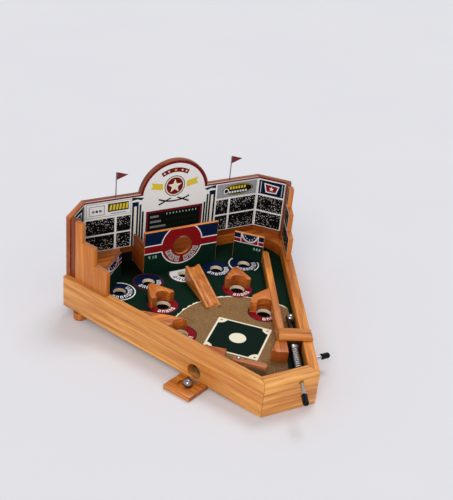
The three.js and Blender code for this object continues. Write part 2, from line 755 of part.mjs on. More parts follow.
function makeLane() {
  const divider = [
    lanePoint(bridgeFront, dividerLeft), lanePoint(bridgeFront, laneLeft),
    lanePoint(dividerEnd - dividerTip, laneLeft),
    lanePoint(dividerEnd, dividerLeft + dividerTipShares[1] * dividerThickness),
    lanePoint(dividerEnd, dividerLeft + dividerTipShares[0] * dividerThickness),
    lanePoint(dividerEnd - dividerTip, dividerLeft),
  ];
  piece('lane_divider', prism(divider, seatLevel, railHeight), oak);

  const blockBack = bridgeFront - seatGap;
  const blockFront = blockBack - endBlockRun;
  const endBlock = [
    lanePoint(blockBack, laneLeft), lanePoint(blockBack, laneLeft - endBlockSide),
    lanePoint(endBlockBellyRun, laneLeft - endBlockBelly),
    lanePoint(blockFront, laneLeft - endBlockFrontSide), lanePoint(blockFront, laneLeft),
  ];
  piece('divider_end_block', prism(endBlock, seatLevel, railHeight), oak);

  const bottom = railHeight + seatGap;
  const left = dividerLeft - bridgeLip;
  const right = laneRight + sideRailThickness;
  const crown = rectangle(left, bottom, right, bottom + bridgeHeight);
  const start = lanePoint(bridgeFront, 0);
  const acrossLane = vec(Math.cos(flare), -Math.sin(flare));
  const slab = uprightPlate(
    start.clone().addScaledVector(railDirection, bridgeRun), acrossLane, crown, bridgeRun,
  );
  const corners = [
    lanePoint(bridgeFront, left), lanePoint(bridgeFront, right),
    lanePoint(bridgeFront + bridgeRun, right), lanePoint(bridgeFront + bridgeRun, left),
  ].map((place) => lift(place, bottom + bridgeHeight));
  const after = (i) => corners[(i + 1) % corners.length];
  const bevels = corners.map((corner, i) => edgeCutter(corner, after(i), bridgeChamfer));
  piece('lane_bridge', cut(slab, ...bevels), oak);

  const guide = [
    lanePoint(bridgeFront, laneLeft + seatGap), lanePoint(bridgeFront, laneRight - seatGap),
    lanePoint(bridgeFront + bridgeRun, laneRight - seatGap),
    lanePoint(bridgeFront + bridgeRun, laneLeft + seatGap),
  ];
  const hole = rod(
    lift(lanePoint(bridgeFront - overrun, 0), plungerZ),
    lift(lanePoint(bridgeFront + bridgeRun + overrun, 0), plungerZ),
    plungerRadius + slideClearance,
  );
  piece('plunger_guide', cut(prism(guide, seatLevel, railHeight), hole), darkOak);
}

// A round cap with a blind bore that takes the end of its rod.
const capProfile = (bore, depth, radius, run) => [
  vec(0, depth), vec(bore, depth), vec(bore, 0), vec(radius, 0), ...roundedEnd(radius, run, radius),
];

function makePlunger() {
  const laneLine = (run) => lift(lanePoint(run, 0), plungerZ);
  const outward = laneLine(-plungerBareRun).sub(laneLine(0));
  const inward = outward.clone().negate();
  const capEnd = -plungerBareRun - capBore + seatGap;
  piece('plunger_rod', rod(laneLine(capEnd), laneLine(plungerTip), plungerRadius), chrome);
  const cap = capProfile(plungerRadius + seatGap, capBore, capRadius, capRun);
  piece('plunger_cap', turned(cap, laneLine(-plungerBareRun), outward), blackCap);
  const bore = plungerRadius + seatGap;
  const dome = roundedEnd(plungerFlangeRadius, plungerFlangeRun, plungerFlangeRun * 2 / 3);
  const flange = [
    vec(bore, 0), vec(plungerFlangeRadius, 0), ...dome, vec(bore, plungerFlangeRun), vec(bore, 0),
  ];
  piece('plunger_flange', turned(flange, laneLine(plungerFlangeFront), inward), chrome);
  piece('plunger_spring', plungerSpring(laneLine(0), inward.normalize()), chrome);
}

// Open coil between the front rail and the flange: each turn has eight steps of a five-sided wire.
function plungerSpring(origin, axis) {
  const stepsPerTurn = 8;
  const sides = 5;
  const wire = springWireRadius;
  const first = frontRailThickness / Math.cos(flare) + springRadius * Math.tan(flare) + seatGap + 2 * wire;
  const last = plungerFlangeFront - seatGap - wire;
  const steps = springTurns * stepsPerTurn;
  const across = point(axis.y, -axis.x, 0);
  const frames = [];
  const onCoil = (i) => {
    const angle = (i / stepsPerTurn) * fullTurn;
    const radial = across.clone().multiplyScalar(Math.cos(angle)).addScaledVector(upward, Math.sin(angle));
    const centre = origin.clone().addScaledVector(axis, first + (last - first) * (i / steps));
    return { centre: centre.addScaledVector(radial, springRadius), radial };
  };
  for (let i = 0; i <= steps; i += 1) frames.push(onCoil(i));
  const extend = (end, inner) => ({
    centre: end.centre.clone().addScaledVector(end.centre.clone().sub(inner.centre).normalize(), 2 * wire),
    radial: end.radial,
  });
  frames.unshift(extend(frames[0], frames[1]));
  frames.push(extend(frames.at(-1), frames.at(-2)));
  const vertices = [];
  frames.forEach((frame, i) => {
    const before = frames[Math.max(i - 1, 0)].centre;
    const after = frames[Math.min(i + 1, frames.length - 1)].centre;
    const tangent = after.clone().sub(before).normalize();
    const side = tangent.clone().cross(frame.radial).normalize();
    const radial = side.clone().cross(tangent);
    for (let k = 0; k < sides; k += 1) {
      const angle = (k / sides) * fullTurn;
      const spot = frame.centre.clone().addScaledVector(radial, wire * Math.cos(angle));
      vertices.push(...spot.addScaledVector(side, wire * Math.sin(angle)));
    }
  });
  const faces = [];
  for (let i = 0; i < frames.length - 1; i += 1) {
    for (let k = 0; k < sides; k += 1) {
      const a = i * sides + k;
      const b = i * sides + (k + 1) % sides;
      faces.push(a, b, a + sides, b, b + sides, a + sides);
    }
  }
  const end = (frames.length - 1) * sides;
  for (let k = 1; k < sides - 1; k += 1) {
    faces.push(0, k + 1, k);
    faces.push(end, end + k, end + k + 1);
  }
  let least = Infinity;
  for (let i = 0; i < frames.length; i += 1) {
    for (let j = i + stepsPerTurn / 2; j < frames.length; j += 1) {
      least = Math.min(least, frames[i].centre.distanceTo(frames[j].centre) - 2 * wire);
    }
  }
  console.log(`plunger_spring: least gap between turns ${least.toFixed(2)} mm`);
  const geometry = new THREE.BufferGeometry();
  geometry.setAttribute('position', new THREE.BufferAttribute(Float32Array.from(vertices), 3));
  geometry.setIndex(faces);
  geometry.computeVertexNormals();
  return geometry;
}

function makeBat() {
  const heading = point(Math.cos(batTurn), Math.sin(batTurn), 0);
  const pivot = point(batX, batY, batZ);
  const neck = batHandleRun + batNeckRun;
  const handleStart = roundedEnd(batBlockRadius, batBlockRadius, batBlockRadius).map(
    (spot) => vec(spot.x, batBlockRadius - spot.y),
  ).reverse();
  const profile = [
    ...handleStart, vec(batBlockRadius, neck), vec(batNeckRadius, neck),
    vec(batNeckRadius, neck + batNeckLength), vec(batBlockRadius, neck + batNeckLength),
    ...roundedEnd(batBarrelRadius, batLength, batBarrelRadius),
  ];
  const start = pivot.clone().addScaledVector(heading, -batHandleRun);
  const stick = turned(profile, start, heading, batSides);
  const above = point(batX, batY, batZ + 2 * batBlockRadius);
  const below = point(batX, batY, batZ - 2 * batBlockRadius);
  const shaftBore = rod(below, above, shaftRadius + seatGap);
  const seatZ = batZ + batBlockRadius - screwSeatDepth;
  const screwSeat = rod(point(batX, batY, seatZ), above, screwHeadRadius + seatGap);
  piece('bat', cut(stick, shaftBore, screwSeat), oak);

  const headBottom = seatZ + seatGap;
  const shankBottom = headBottom - screwShankLength;
  const shank = screwShankLength;
  const screw = [
    vec(0, 0), vec(screwShankRadius, 0), vec(screwShankRadius, shank), vec(screwHeadRadius, shank),
    ...roundedEnd(screwHeadRadius, shank + screwHeadHeight, screwHeadHeight), vec(0, shank + screwHeadHeight),
  ];
  piece('bat_screw', turned(screw, point(batX, batY, shankBottom), upward), chrome);

  const armTop = underTongue - seatGap;
  const armBottom = armTop - crankThickness;
  const batBottom = batZ - batBlockRadius;
  const shaft = [
    vec(0, armBottom), vec(shaftRadius, armBottom), vec(shaftRadius, seatLevel),
    vec(shaftCollarRadius, seatLevel), vec(shaftCollarRadius, batBottom - seatGap),
    vec(shaftRadius, batBottom - seatGap), vec(shaftRadius, shankBottom - seatGap),
    vec(0, shankBottom - seatGap),
  ];
  const spindle = turned(shaft, point(batX, batY, 0), upward);
  const pin = vec(batX + crankRadius * Math.cos(crankTurn), batY + crankRadius * Math.sin(crankTurn));
  const reach = crankRadius + crankWidth / 2;
  const arm = prism(
    rectangle(-crankWidth / 2, -crankWidth / 2, reach, crankWidth / 2)
      .map((place) => place.rotateAround(vec(0, 0), crankTurn).add(vec(batX, batY))),
    armBottom, armTop,
  );
  const pinBottom = batRodZ - yokeThickness / 2 - seatGap;
  const crankPin = rod(lift(pin, pinBottom), lift(pin, armTop), crankPinRadius, pinSides);
  piece('bat_shaft', joined(spindle, arm, crankPin), chrome);
  makeBatRod(pin);
}

function makeBatRod(pin) {
  const line = (x) => point(x, batRodY, batRodZ);
  const slotHalf = crankPinRadius + yokeSlotClearance;
  const slotMiddle = batY + crankRadius * (Math.sin(crankTurn + batSwing) - 1) / 2;
  const yokeHalf = slotHalf + yokeWall;
  const slotReach = yokeSlotRun / 2;
  const low = batRodZ - yokeThickness / 2;
  const high = batRodZ + yokeThickness / 2;
  const slot = new THREE.Path(rectangle(
    pin.x - slotHalf, slotMiddle - slotReach, pin.x + slotHalf, slotMiddle + slotReach,
  ).reverse());
  const plate = rectangle(
    pin.x - yokeHalf, slotMiddle - slotReach - yokeWall, pin.x + yokeHalf, slotMiddle + slotReach + yokeWall,
  );
  const yoke = prism(plate, low, high, [slot]);
  const shaft = rod(line(pin.x + slotHalf + yokeWall / 2), line(batRodEnd), batRodRadius);
  const collarStart = rodGuideX + rodGuideLength + seatGap;
  const collar = rod(line(collarStart), line(collarStart + rodCollarLength), rodCollarRadius);
  piece('bat_rod', joined(yoke, shaft, collar), chrome);
  const cap = capProfile(batRodRadius + seatGap, batCapBore, capRadius, batCapRun);
  piece('bat_rod_cap', turned(cap, line(batCapStart), point(1, 0, 0)), blackCap);

  const block = rectangle(
    rodGuideX, batRodY - rodGuideWidth / 2, rodGuideX + rodGuideLength, batRodY + rodGuideWidth / 2,
  );
  const hole = rod(
    line(rodGuideX - overrun), line(rodGuideX + rodGuideLength + overrun), batRodRadius + slideClearance,
  );
  const guide = prism(block, bottomBoardTop + seatGap, underTongue - seatGap);
  piece('bat_rod_guide', cut(guide, hole), darkOak);

  const springStart = collarStart + rodCollarLength + seatGap;
  const railFace = meet(
    vec(0, batRodY - batSpringRadius), vec(1, 0), railPoint(1, 0, sideRailThickness), railDirection,
  ).x;
  const springRun = railFace - seatGap - springStart;
  const inside = batSpringRadius - batSpringWall;
  const tube = [
    vec(inside, 0), vec(batSpringRadius, 0), vec(batSpringRadius, springRun), vec(inside, springRun),
    vec(inside, 0),
  ];
  piece('bat_return_spring', turned(tube, line(springStart), point(1, 0, 0)), chrome);
}

function makeWedge() {
  const inner = sideRailThickness + seatGap;
  const outline = [
    railPoint(-1, wedgeBack, inner), railPoint(-1, wedgeFront, inner),
    railPoint(-1, wedgeHeel, wedgeHeelDepth), railPoint(-1, wedgeTip, wedgeTipDepth),
  ];
  piece('bat_wedge', prism(outline, seatLevel, railHeight), oak);
}

// The tray lies flat on the table against the left rail, below the return bore.
function makeTray() {
  const near = -seatGap - seatGap / 2;
  const far = near - trayDepth;
  const plan = [
    railPoint(-1, trayFrontRun, near), railPoint(-1, trayFrontRun + trayWidth, near),
    railPoint(-1, trayFrontRun + trayWidth, far), railPoint(-1, trayFrontRun, far),
  ];
  const middle = railPoint(-1, pocketRun, -pocketDepth);
  const above = lift(middle, trayHeight + overrun);
  const pocket = rod(lift(middle, trayFloor), above, pocketRadius, roundSegments);
  const half = pocketChannel / 2;
  const channel = prism([
    railPoint(-1, pocketRun - half, -pocketDepth), railPoint(-1, pocketRun - half, overrun),
    railPoint(-1, pocketRun + half, overrun), railPoint(-1, pocketRun + half, -pocketDepth),
  ], trayFloor, trayHeight + overrun);
  piece('ball_tray', cut(prism(plan, 0, trayHeight), pocket, channel), oak, table);
}

function makeBalls() {
  const ball = () => new THREE.IcosahedronGeometry(ballRadius, ballDetail);
  const laneBall = piece('lane_ball', ball(), chrome);
  const run = plungerTip + seatGap + ballRadius;
  laneBall.position.copy(lift(lanePoint(run, laneBallSide), seatLevel + ballRadius));
  const trayBall = piece('tray_ball', ball(), chrome, table);
  trayBall.position.copy(lift(railPoint(-1, trayBallRun, -pocketDepth), trayFloor + seatGap + ballRadius));
}

// Turned feet under the back of the side rails, cut level with the table.
function makeFeet() {
  const length = footHeight + 2 * footRadius * Math.sin(lean);
  const profile = [
    vec(0, seatGap), vec(footRadius, seatGap), ...roundedEnd(footRadius, length, footRound), vec(0, length),
  ];
  const levelCut = new THREE.BoxGeometry(2 * overallWidth, 2 * cabinetDepth, overallWidth);
  levelCut.translate(0, cabinetDepth, -overallWidth / 2).rotateX(-lean);
  const names = { '-1': 'left_rear_foot', 1: 'right_rear_foot' };
  for (const side of [-1, 1]) {
    const middle = railPoint(side, footRun, sideRailThickness / 2);
    piece(names[side], cut(turned(profile, lift(middle, 0), downward, footSides), levelCut), oak);
  }
}

function makePennants() {
  const y = cabinetDepth - backdropThickness / 2;
  const names = { '-1': 'left', 1: 'right' };
  for (const side of [-1, 1]) {
    const x = side * poleX;
    const foot = backdropHeight - poleSocket + seatGap;
    const pole = rod(point(x, y, foot), point(x, y, poleTop), poleRadius, poleSides);
    piece(`${names[side]}_pennant_pole`, pole, chrome);
    const start = x + poleRadius + seatGap;
    const outline = [
      vec(start, poleTop - pennantHeight), vec(start + pennantLength, poleTop - pennantHeight / 2),
      vec(start, poleTop),
    ];
    const flag = uprightPlate(vec(0, y + pennantThickness / 2), vec(1, 0), outline, pennantThickness);
    piece(`${names[side]}_pennant`, flag, flagRed);
  }
}

makeRails();
makeBackdrop();
makeSteppedPanels();
makeBoards();
makeHoods();
makeRamp();
makeFence();
makeFieldPanels();
makeGuideBlock();
makeLane();
makePlunger();
makeBat();
makeWedge();
makeTray();
makeBalls();
makeFeet();
makePennants();

// The origin is under the middle of the whole game, on the table.
const bounds = new THREE.Box3().setFromObject(table, true);
const middle = bounds.getCenter(point(0, 0, 0));
table.position.set(-middle.x, -middle.y, -bounds.min.z);

export default table;
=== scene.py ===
import json
import random
from math import asin, atan, atan2, cos, degrees, pi, radians, sin, sqrt, tan

import bpy
from mathutils import Matrix, Vector
from mathutils.geometry import tessellate_polygon


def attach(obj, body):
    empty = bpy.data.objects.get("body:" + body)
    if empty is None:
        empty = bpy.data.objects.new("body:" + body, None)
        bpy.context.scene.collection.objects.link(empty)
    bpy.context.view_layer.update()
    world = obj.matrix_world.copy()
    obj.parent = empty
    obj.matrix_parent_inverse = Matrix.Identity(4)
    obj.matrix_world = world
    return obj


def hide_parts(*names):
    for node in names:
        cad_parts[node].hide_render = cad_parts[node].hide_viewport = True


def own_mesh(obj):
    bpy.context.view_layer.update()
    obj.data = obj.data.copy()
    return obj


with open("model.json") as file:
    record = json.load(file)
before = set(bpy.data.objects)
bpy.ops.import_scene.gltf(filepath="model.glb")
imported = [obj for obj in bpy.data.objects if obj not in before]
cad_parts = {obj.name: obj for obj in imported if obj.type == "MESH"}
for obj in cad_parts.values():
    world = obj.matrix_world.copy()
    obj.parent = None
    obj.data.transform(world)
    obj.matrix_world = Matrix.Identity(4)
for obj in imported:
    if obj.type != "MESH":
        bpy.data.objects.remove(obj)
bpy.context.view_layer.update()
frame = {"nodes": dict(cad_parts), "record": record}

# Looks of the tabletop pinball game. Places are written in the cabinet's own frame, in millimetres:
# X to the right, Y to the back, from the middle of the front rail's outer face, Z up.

joints = {joint["name"]: joint for joint in frame["record"]["behaviour"]["joints"]}
MM = 0.001

# The cabinet's lean and shift, from the bat's pivot.
PIVOT = (-38.5, 69.5, 39.7)
swing = joints["bat_swing"]
LEAN = atan2(-swing["axis"][1], swing["axis"][2])
SHIFT = swing["pos_m"][1] - MM * (PIVOT[1] * cos(LEAN) - PIVOT[2] * sin(LEAN))
CABINET = Matrix.Translation((0, SHIFT, 0)) @ Matrix.Rotation(LEAN, 4, "X") @ Matrix.Scale(MM, 4)
TABLE = Matrix.Translation((0, SHIFT, 0)) @ Matrix.Scale(MM, 4)

# Sizes of the cabinet that the prints and round parts follow.
OVERALL_WIDTH = 368
FRONT_HALF = 39.7
DEPTH = 361.5
CORNER_WIDTH = 40.8
CORNER_RUN = 40.5
RAIL_THICKNESS = 13.5
FRONT_THICKNESS = 19.2
BOARD = 7
CREST = 141.3
ARCH_X, ARCH_HALF, ARCH_RISE = -1, 55, 46.2
FIELD = 31.75
FIELD_THICKNESS = 9.5
HOLE_RADIUS = 10.65
BACK_HOLE_RADIUS = 8.85
BACK_HOLES = ("left_corner", "left_field", "deep_center", "right_field", "right_corner")
LANE_WIDTH = 21.2
DIVIDER = 9.4
DIVIDER_LEFT = -LANE_WIDTH / 2 - DIVIDER
PLUNGER_Z = 40.4
FLARE = atan((OVERALL_WIDTH / 2 - FRONT_HALF) / (DEPTH - CORNER_RUN))
SIN, COS, TAN = sin(FLARE), cos(FLARE), tan(FLARE)
RAIL_LENGTH = (DEPTH - CORNER_RUN) / COS
PLUNGER_X = FRONT_HALF - (LANE_WIDTH / 2 + RAIL_THICKNESS) / COS
ARCH_RADIUS = (ARCH_HALF ** 2 + ARCH_RISE ** 2) / (2 * ARCH_RISE)
ARCH_Z = CREST + ARCH_RISE - ARCH_RADIUS

# Boards keep a gap to their seats, and prints end a margin short of a board's edge.
GAP = 0.3
MARGIN = 0.4

X_AXIS, Y_AXIS, Z_AXIS = Vector((1, 0, 0)), Vector((0, 1, 0)), Vector((0, 0, 1))
lane_heading = Vector((SIN, COS, 0))
RAIL_AXES = {-1: Vector((-SIN, COS, 0)), 1: lane_heading}


def rail_point(side, run, depth, z=0.0):
    x = FRONT_HALF + run * SIN - depth * COS
    return Vector((side * x, run * COS + depth * SIN, z))


def lane_point(run, across, z=0.0):
    return Vector((PLUNGER_X + run * SIN + across * COS, run * COS - across * SIN, z))


def field_place(width_share, depth_share):
    y = depth_share * DEPTH
    return Vector((width_share * (FRONT_HALF + y * TAN), y))


HOLES = {
    "left_corner": field_place(-0.688, 0.778),
    "left_field": field_place(-0.382, 0.805),
    "deep_center": field_place(-0.0444, 0.8094),
    "right_field": field_place(0.266, 0.805),
    "right_corner": field_place(0.537, 0.8),
    "left_hooded": field_place(-0.497, 0.632),
    "right_hooded": field_place(0.335, 0.637),
    "left_infield": rail_point(-1, 0.452 * RAIL_LENGTH, 29.5).xy,
    "right_infield": lane_point(0.469 * RAIL_LENGTH, DIVIDER_LEFT - 9.9).xy,
    "pocket": field_place(-0.024, 0.927),
}


def hole_radius(name):
    return BACK_HOLE_RADIUS if name in BACK_HOLES else HOLE_RADIUS


def linear(red, green, blue):
    """A colour given in the usual 0 to 255 steps."""
    def one(value):
        value /= 255
        return value / 12.92 if value <= 0.04045 else ((value + 0.055) / 1.055) ** 2.4
    return (one(red), one(green), one(blue), 1)


# Materials.

class Look:
    """A node material under construction."""

    def __init__(self, name, roughness, metallic=0, coat=0, coat_roughness=0.2, specular=0.5):
        self.material = bpy.data.materials.new(name)
        self.material.use_nodes = True
        self.tree = self.material.node_tree
        self.surface = self.tree.nodes["Principled BSDF"]
        values = {"Roughness": roughness, "Metallic": metallic, "Coat Weight": coat,
                  "Coat Roughness": coat_roughness, "Specular IOR Level": specular}
        for socket, value in values.items():
            self.surface.inputs[socket].default_value = value
        self.place = self.node("ShaderNodeTexCoord").outputs

    def node(self, kind, inputs=None, **settings):
        node = self.tree.nodes.new(kind)
        for name, value in settings.items():
            setattr(node, name, value)
        for name, value in (inputs or {}).items():
            if isinstance(value, bpy.types.NodeSocket):
                self.tree.links.new(value, node.inputs[name])
            else:
                node.inputs[name].default_value = value
        return node

    def link(self, source, target):
        self.tree.links.new(source, self.surface.inputs[target])

    def mapped(self, scale=(1, 1, 1), rotation=(0, 0, 0), location=(0, 0, 0), source=None):
        inputs = {"Vector": source or self.place["Object"], "Scale": scale, "Rotation": rotation,
                  "Location": location}
        return self.node("ShaderNodeMapping", inputs).outputs["Vector"]

    def noise(self, vector, scale, detail=3, roughness=0.55, distortion=0):
        inputs = {"Vector": vector, "Scale": scale, "Detail": detail, "Roughness": roughness,
                  "Distortion": distortion}
        return self.node("ShaderNodeTexNoise", inputs).outputs["Fac"]

    def math(self, operation, first, second=0):
        return self.node("ShaderNodeMath", {0: first, 1: second}, operation=operation).outputs[0]

    def coordinate(self, axis):
        """A place's X, Y or Z in the row frame."""
        return self.node("ShaderNodeSeparateXYZ", {0: self.place["Object"]}).outputs[axis]

    def vector_math(self, operation, first, second):
        node = self.node("ShaderNodeVectorMath", {0: first, 1: second}, operation=operation)
        return node.outputs["Value"]

    def ramp(self, factor, stops):
        node = self.node("ShaderNodeValToRGB", {"Fac": factor})
        elements = node.color_ramp.elements
        while len(elements) < len(stops):
            elements.new(0.5)
        for element, (position, color) in zip(elements, stops):
            element.position = position
            element.color = color if isinstance(color, tuple) else (color, color, color, 1)
        return node.outputs["Color"]

    def mix(self, factor, first, second):
        inputs = {"Fac": factor, "Color1": first, "Color2": second}
        return self.node("ShaderNodeMixRGB", inputs).outputs["Color"]

    def bump(self, height, strength, distance):
        inputs = {"Height": height, "Strength": strength, "Distance": distance}
        self.link(self.node("ShaderNodeBump", inputs).outputs["Normal"], "Normal")

    def painted(self, color, height, strength, distance):
        """The finished material, with a colour over its surface and fine relief."""
        self.link(color, "Base Color")
        self.bump(height, strength, distance)
        return self.material


# Stains of the wood: light and dark of the figure, then the pores and the end grain.
HONEY = ((240, 168, 88), (204, 122, 52), (170, 94, 38))
OAK = ((226, 142, 60), (176, 94, 28), (138, 66, 18))
CALM_OAK = ((214, 130, 54), (196, 112, 42), (170, 92, 32))
CALM_RUSSET = ((148, 68, 18), (124, 48, 8), (110, 40, 6))
AMBER = ((222, 128, 46), (154, 70, 20), (146, 68, 24))
RUSSET = ((160, 82, 28), (118, 50, 14), (92, 36, 8))
# A near-black stain that is painted shade, for the plunger guide in the shadow under the bridge.
SHADE_STAIN = ((52, 30, 16), (34, 18, 10), (24, 13, 8))
# A bright stain that is painted light, for the wood lining behind the fence's pocket.
POCKET_LIGHT_STAIN = ((236, 128, 60), (186, 88, 34), (140, 60, 20))
PALE = ((230, 158, 84), (196, 118, 52), (160, 84, 34))
HARDBOARD = ((150, 112, 74), (128, 92, 58), (112, 78, 48))
wood_seeds = random.Random(7)


def wood(name, grain, stain, roughness=0.4, coat=0.2, figure=1):
    """Varnished wood whose grain runs along a direction in the row frame."""
    light, dark, end = (linear(*tone) for tone in stain)
    dark = tuple(one + (other - one) * figure for one, other in zip(light, dark))
    glow = tuple(min(1, value * (1 + 0.28 * figure)) for value in light[:3]) + (1,)
    look = Look(name, roughness, coat=coat, coat_roughness=0.22, specular=0.3)
    grain = Vector(grain).normalized()
    turn = grain.rotation_difference(X_AXIS).to_euler()
    seed = [wood_seeds.uniform(-0.04, 0.04) for _ in range(3)]
    along = look.mapped(rotation=turn, location=seed)
    tilt = (0, wood_seeds.uniform(0.03, 0.09), wood_seeds.uniform(0.03, 0.09))
    pith = look.mapped((0.5, 1, 1), tilt, (0, 0.04, 0.03), along)
    rings = look.node("ShaderNodeTexWave", {
        "Vector": pith, "Scale": 64, "Distortion": 6, "Detail": 3, "Detail Scale": 0.22,
        "Detail Roughness": 0.55,
    }, wave_type="RINGS", rings_direction="X", wave_profile="SAW").outputs["Fac"]

    def fibres(along_scale, across_scale, *settings):
        """Noise that is drawn out along the grain."""
        stretch = (along_scale, across_scale, across_scale)
        return look.noise(look.mapped(stretch, source=along), 1, *settings)

    streaks = fibres(7, 150, 7, 0.68, 0.5)
    clouds = fibres(5, 30, 3, 0.5, 0.6)
    pores = fibres(70, 1300, 2)
    tone = look.ramp(streaks, [(0.36, glow), (0.48, light), (0.64, dark)])
    tone = look.mix(look.ramp(clouds, [(0.4, 0), (0.64, 0.6)]), tone, dark)
    veins = look.math("MULTIPLY", look.ramp(rings, [(0.5, 0), (0.96, 0.4 * figure)]),
                        look.ramp(streaks, [(0.4, 0.35), (0.6, 1)]))
    tone = look.mix(veins, tone, end)
    tone = look.mix(look.ramp(pores, [(0.58, 0), (0.7, 0.28)]), tone, end)
    facing = look.vector_math("DOT_PRODUCT", look.place["Normal"], grain)
    cut = look.math("ABSOLUTE", facing)
    tone = look.mix(look.ramp(cut, [(0.55, 0), (0.95, 0.75)]), tone, end)
    return look.painted(tone, look.mix(0.5, pores, streaks), 0.12, 0.0004)


# Paint: its low gloss, the scale and detail of its mottling, the strength and depth of its relief.
MATT = 0.06
MOTTLE = (420, 4)
TOOTH = (0.06, 0.0002)


def ink(name, color, roughness=0.6, spread=0.16):
    """Printed paint: a colour with faint mottling and a trace of the sheet's tooth."""
    look = Look(name, roughness, specular=MATT)
    mottle = look.noise(look.mapped(), *MOTTLE)
    wear = look.noise(look.mapped(), 60, 2)
    deep = tuple(value * (1 - spread) for value in color[:3]) + (1,)
    pale = tuple(min(1, value * (1 + spread) + 0.004) for value in color[:3]) + (1,)
    tone = look.mix(mottle, deep, pale)
    tone = look.mix(look.ramp(wear, [(0.45, 0), (0.8, 0.25)]), tone, pale)
    return look.painted(tone, mottle, *TOOTH)


# The back left corner, centre of the painted shade that darkens the playfield's green, in the row
# frame.
SHADED_CORNER = CABINET @ Vector((-80, DEPTH - 20, FIELD))


def field_paint_and_shade():
    """The playfield's green, with painted shade that sinks it to near black in the back left
    corner.
    """
    look = Look("field_paint_and_shade", 0.6, specular=MATT)
    mottle = look.noise(look.mapped(), *MOTTLE)
    green = look.mix(mottle, linear(4, 32, 21), linear(6, 40, 27))
    far = look.vector_math("DISTANCE", look.place["Object"], SHADED_CORNER)
    # Painted shade: the green darkens to near black towards the back left corner.
    deep = look.ramp(look.math("MULTIPLY", far, 10), [(0.2, 0.9), (0.56, 0)])
    return look.painted(look.mix(deep, green, linear(4, 8, 6)), mottle, *TOOTH)


# Depths in the row frame where the painted shade under the front rail starts and fades out.
FRONT_SHADE_START, FRONT_SHADE_RUN = -0.143, 0.056


def dirt_print_and_shade():
    """Fine grit: dark and light specks over a sandy base, with painted shade that darkens it under
    the front rail.
    """
    base, dark, light = linear(144, 105, 61), linear(98, 69, 37), linear(196, 160, 106)
    grit_scale, cover = 1100, 0.54
    look = Look("dirt_print_and_shade", 0.65, specular=0.25)
    grit = look.noise(look.mapped(), grit_scale, 2, 0.5)
    dots = look.noise(look.mapped(location=(3.1, 1.7, 0.4)), grit_scale * 0.8, 2, 0.5)
    broad = look.noise(look.mapped(), 45, 3)
    tone = look.mix(look.ramp(broad, [(0.3, 0), (0.7, 0.5)]), base, dark)
    tone = look.mix(look.ramp(grit, [(cover, 0), (cover + 0.05, 0.8)]), tone, dark)
    tone = look.mix(look.ramp(dots, [(cover + 0.04, 0), (cover + 0.09, 0.8)]), tone, light)
    # Painted shade: the dirt darkens towards the front rail, where the rail shades the field.
    inward = look.math("SUBTRACT", look.coordinate("Y"), FRONT_SHADE_START)
    near = look.ramp(inward, [(0, 0.92), (FRONT_SHADE_RUN, 0)])
    return look.painted(look.mix(near, tone, linear(70, 38, 20)), grit, 0.1, 0.0003)


def crowd_print():
    """Black print with a scatter of pale blots, like a packed stand seen from far off."""
    look = Look("crowd_print", 0.55, specular=0.08)
    place = look.mapped()
    warp = look.noise(place, 900, 2)
    cells = look.node("ShaderNodeTexVoronoi",
                        {"Vector": place, "Scale": 500, "Randomness": 1}).outputs
    near = look.ramp(cells["Distance"], [(0.27, 1), (0.38, 0)])
    chosen = look.ramp(cells["Color"], [(0.5, 0), (0.53, 1)])
    shape = look.math("MULTIPLY", near, chosen)
    blot = look.math("MULTIPLY", shape, look.ramp(warp, [(0.36, 0.1), (0.5, 1)]))
    look.link(look.mix(blot, linear(9, 9, 10), linear(244, 242, 238)), "Base Color")
    return look.material


# Near black, for painted shade on the plunger's metal in its dark bay.
SHADED_METAL = (0.03, 0.03, 0.032, 1)


def metal(name, color, roughness, dark_from=None, dark_under=None):
    """Polished metal with faint drawn scratches, and painted shade that darkens it from a depth on
    or under a level.
    """
    look = Look(name, roughness, metallic=1)
    look.surface.inputs["Base Color"].default_value = color
    if dark_from is not None:
        past = look.math("SUBTRACT", look.coordinate("Y"), dark_from)
        look.link(look.ramp(past, [(0, color), (0.004, SHADED_METAL)]), "Base Color")
    if dark_under is not None:
        slope = look.math("MULTIPLY", look.coordinate("Y"), tan(LEAN))
        level = look.math("SUBTRACT", look.coordinate("Z"), slope)
        above = look.math("SUBTRACT", level, dark_under)
        look.link(look.ramp(above, [(0, SHADED_METAL), (0.0016, color)]), "Base Color")
    scratches = look.noise(look.mapped((60, 900, 900)), 1, 2)
    sheen = [(0.3, roughness * 0.7), (0.8, roughness * 1.8)]
    look.link(look.ramp(scratches, sheen), "Roughness")
    look.bump(scratches, 0.02, 0.0001)
    return look.material


def vinyl(name, color):
    """Dipped vinyl: glossy, with a soft orange-peel surface."""
    look = Look(name, 0.26, coat=0.04, coat_roughness=0.1, specular=0.12)
    peel = look.noise(look.mapped(), 700, 2)
    return look.painted(look.mix(peel, color, linear(18, 17, 17)), peel, 0.12, 0.0002)


# Each print's colour, and for the smoother ones a roughness and a spread of tone.
INKS = {name: ink(f"{name}_print", linear(*color), *finish) for name, color, *finish in (
    ("white", (248, 247, 246), 0.5, 0.04),
    ("cream", (246, 238, 212), 0.5, 0.04),
    ("navy", (1, 25, 60)),
    ("red", (136, 13, 20)),
    ("maroon", (116, 20, 28)),
    ("pine", (0, 25, 17)),
    # The shade print is painted shade, laid where walls shadow the field and the back wall.
    ("shade", (8, 20, 14)),
    ("black", (12, 13, 14)),
    ("green", (4, 36, 24)),
    ("teal", (8, 54, 44)),
    ("grey", (160, 162, 168), 0.4, 0.06),
    ("silver", (190, 192, 190), 0.4, 0.06),
    ("gold", (232, 206, 66), 0.42, 0.06),
    ("mint", (170, 214, 190), 0.5, 0.06),
    ("tan", (168, 142, 96), 0.5, 0.08),
)}
INKS["dirt"] = dirt_print_and_shade()
INKS["crowd"] = crowd_print()
# The lining's bright wood is painted light where little light reaches behind the fence.
INKS["lit_lining"] = wood("pocket_lit_lining", X_AXIS, POCKET_LIGHT_STAIN, figure=0.5)
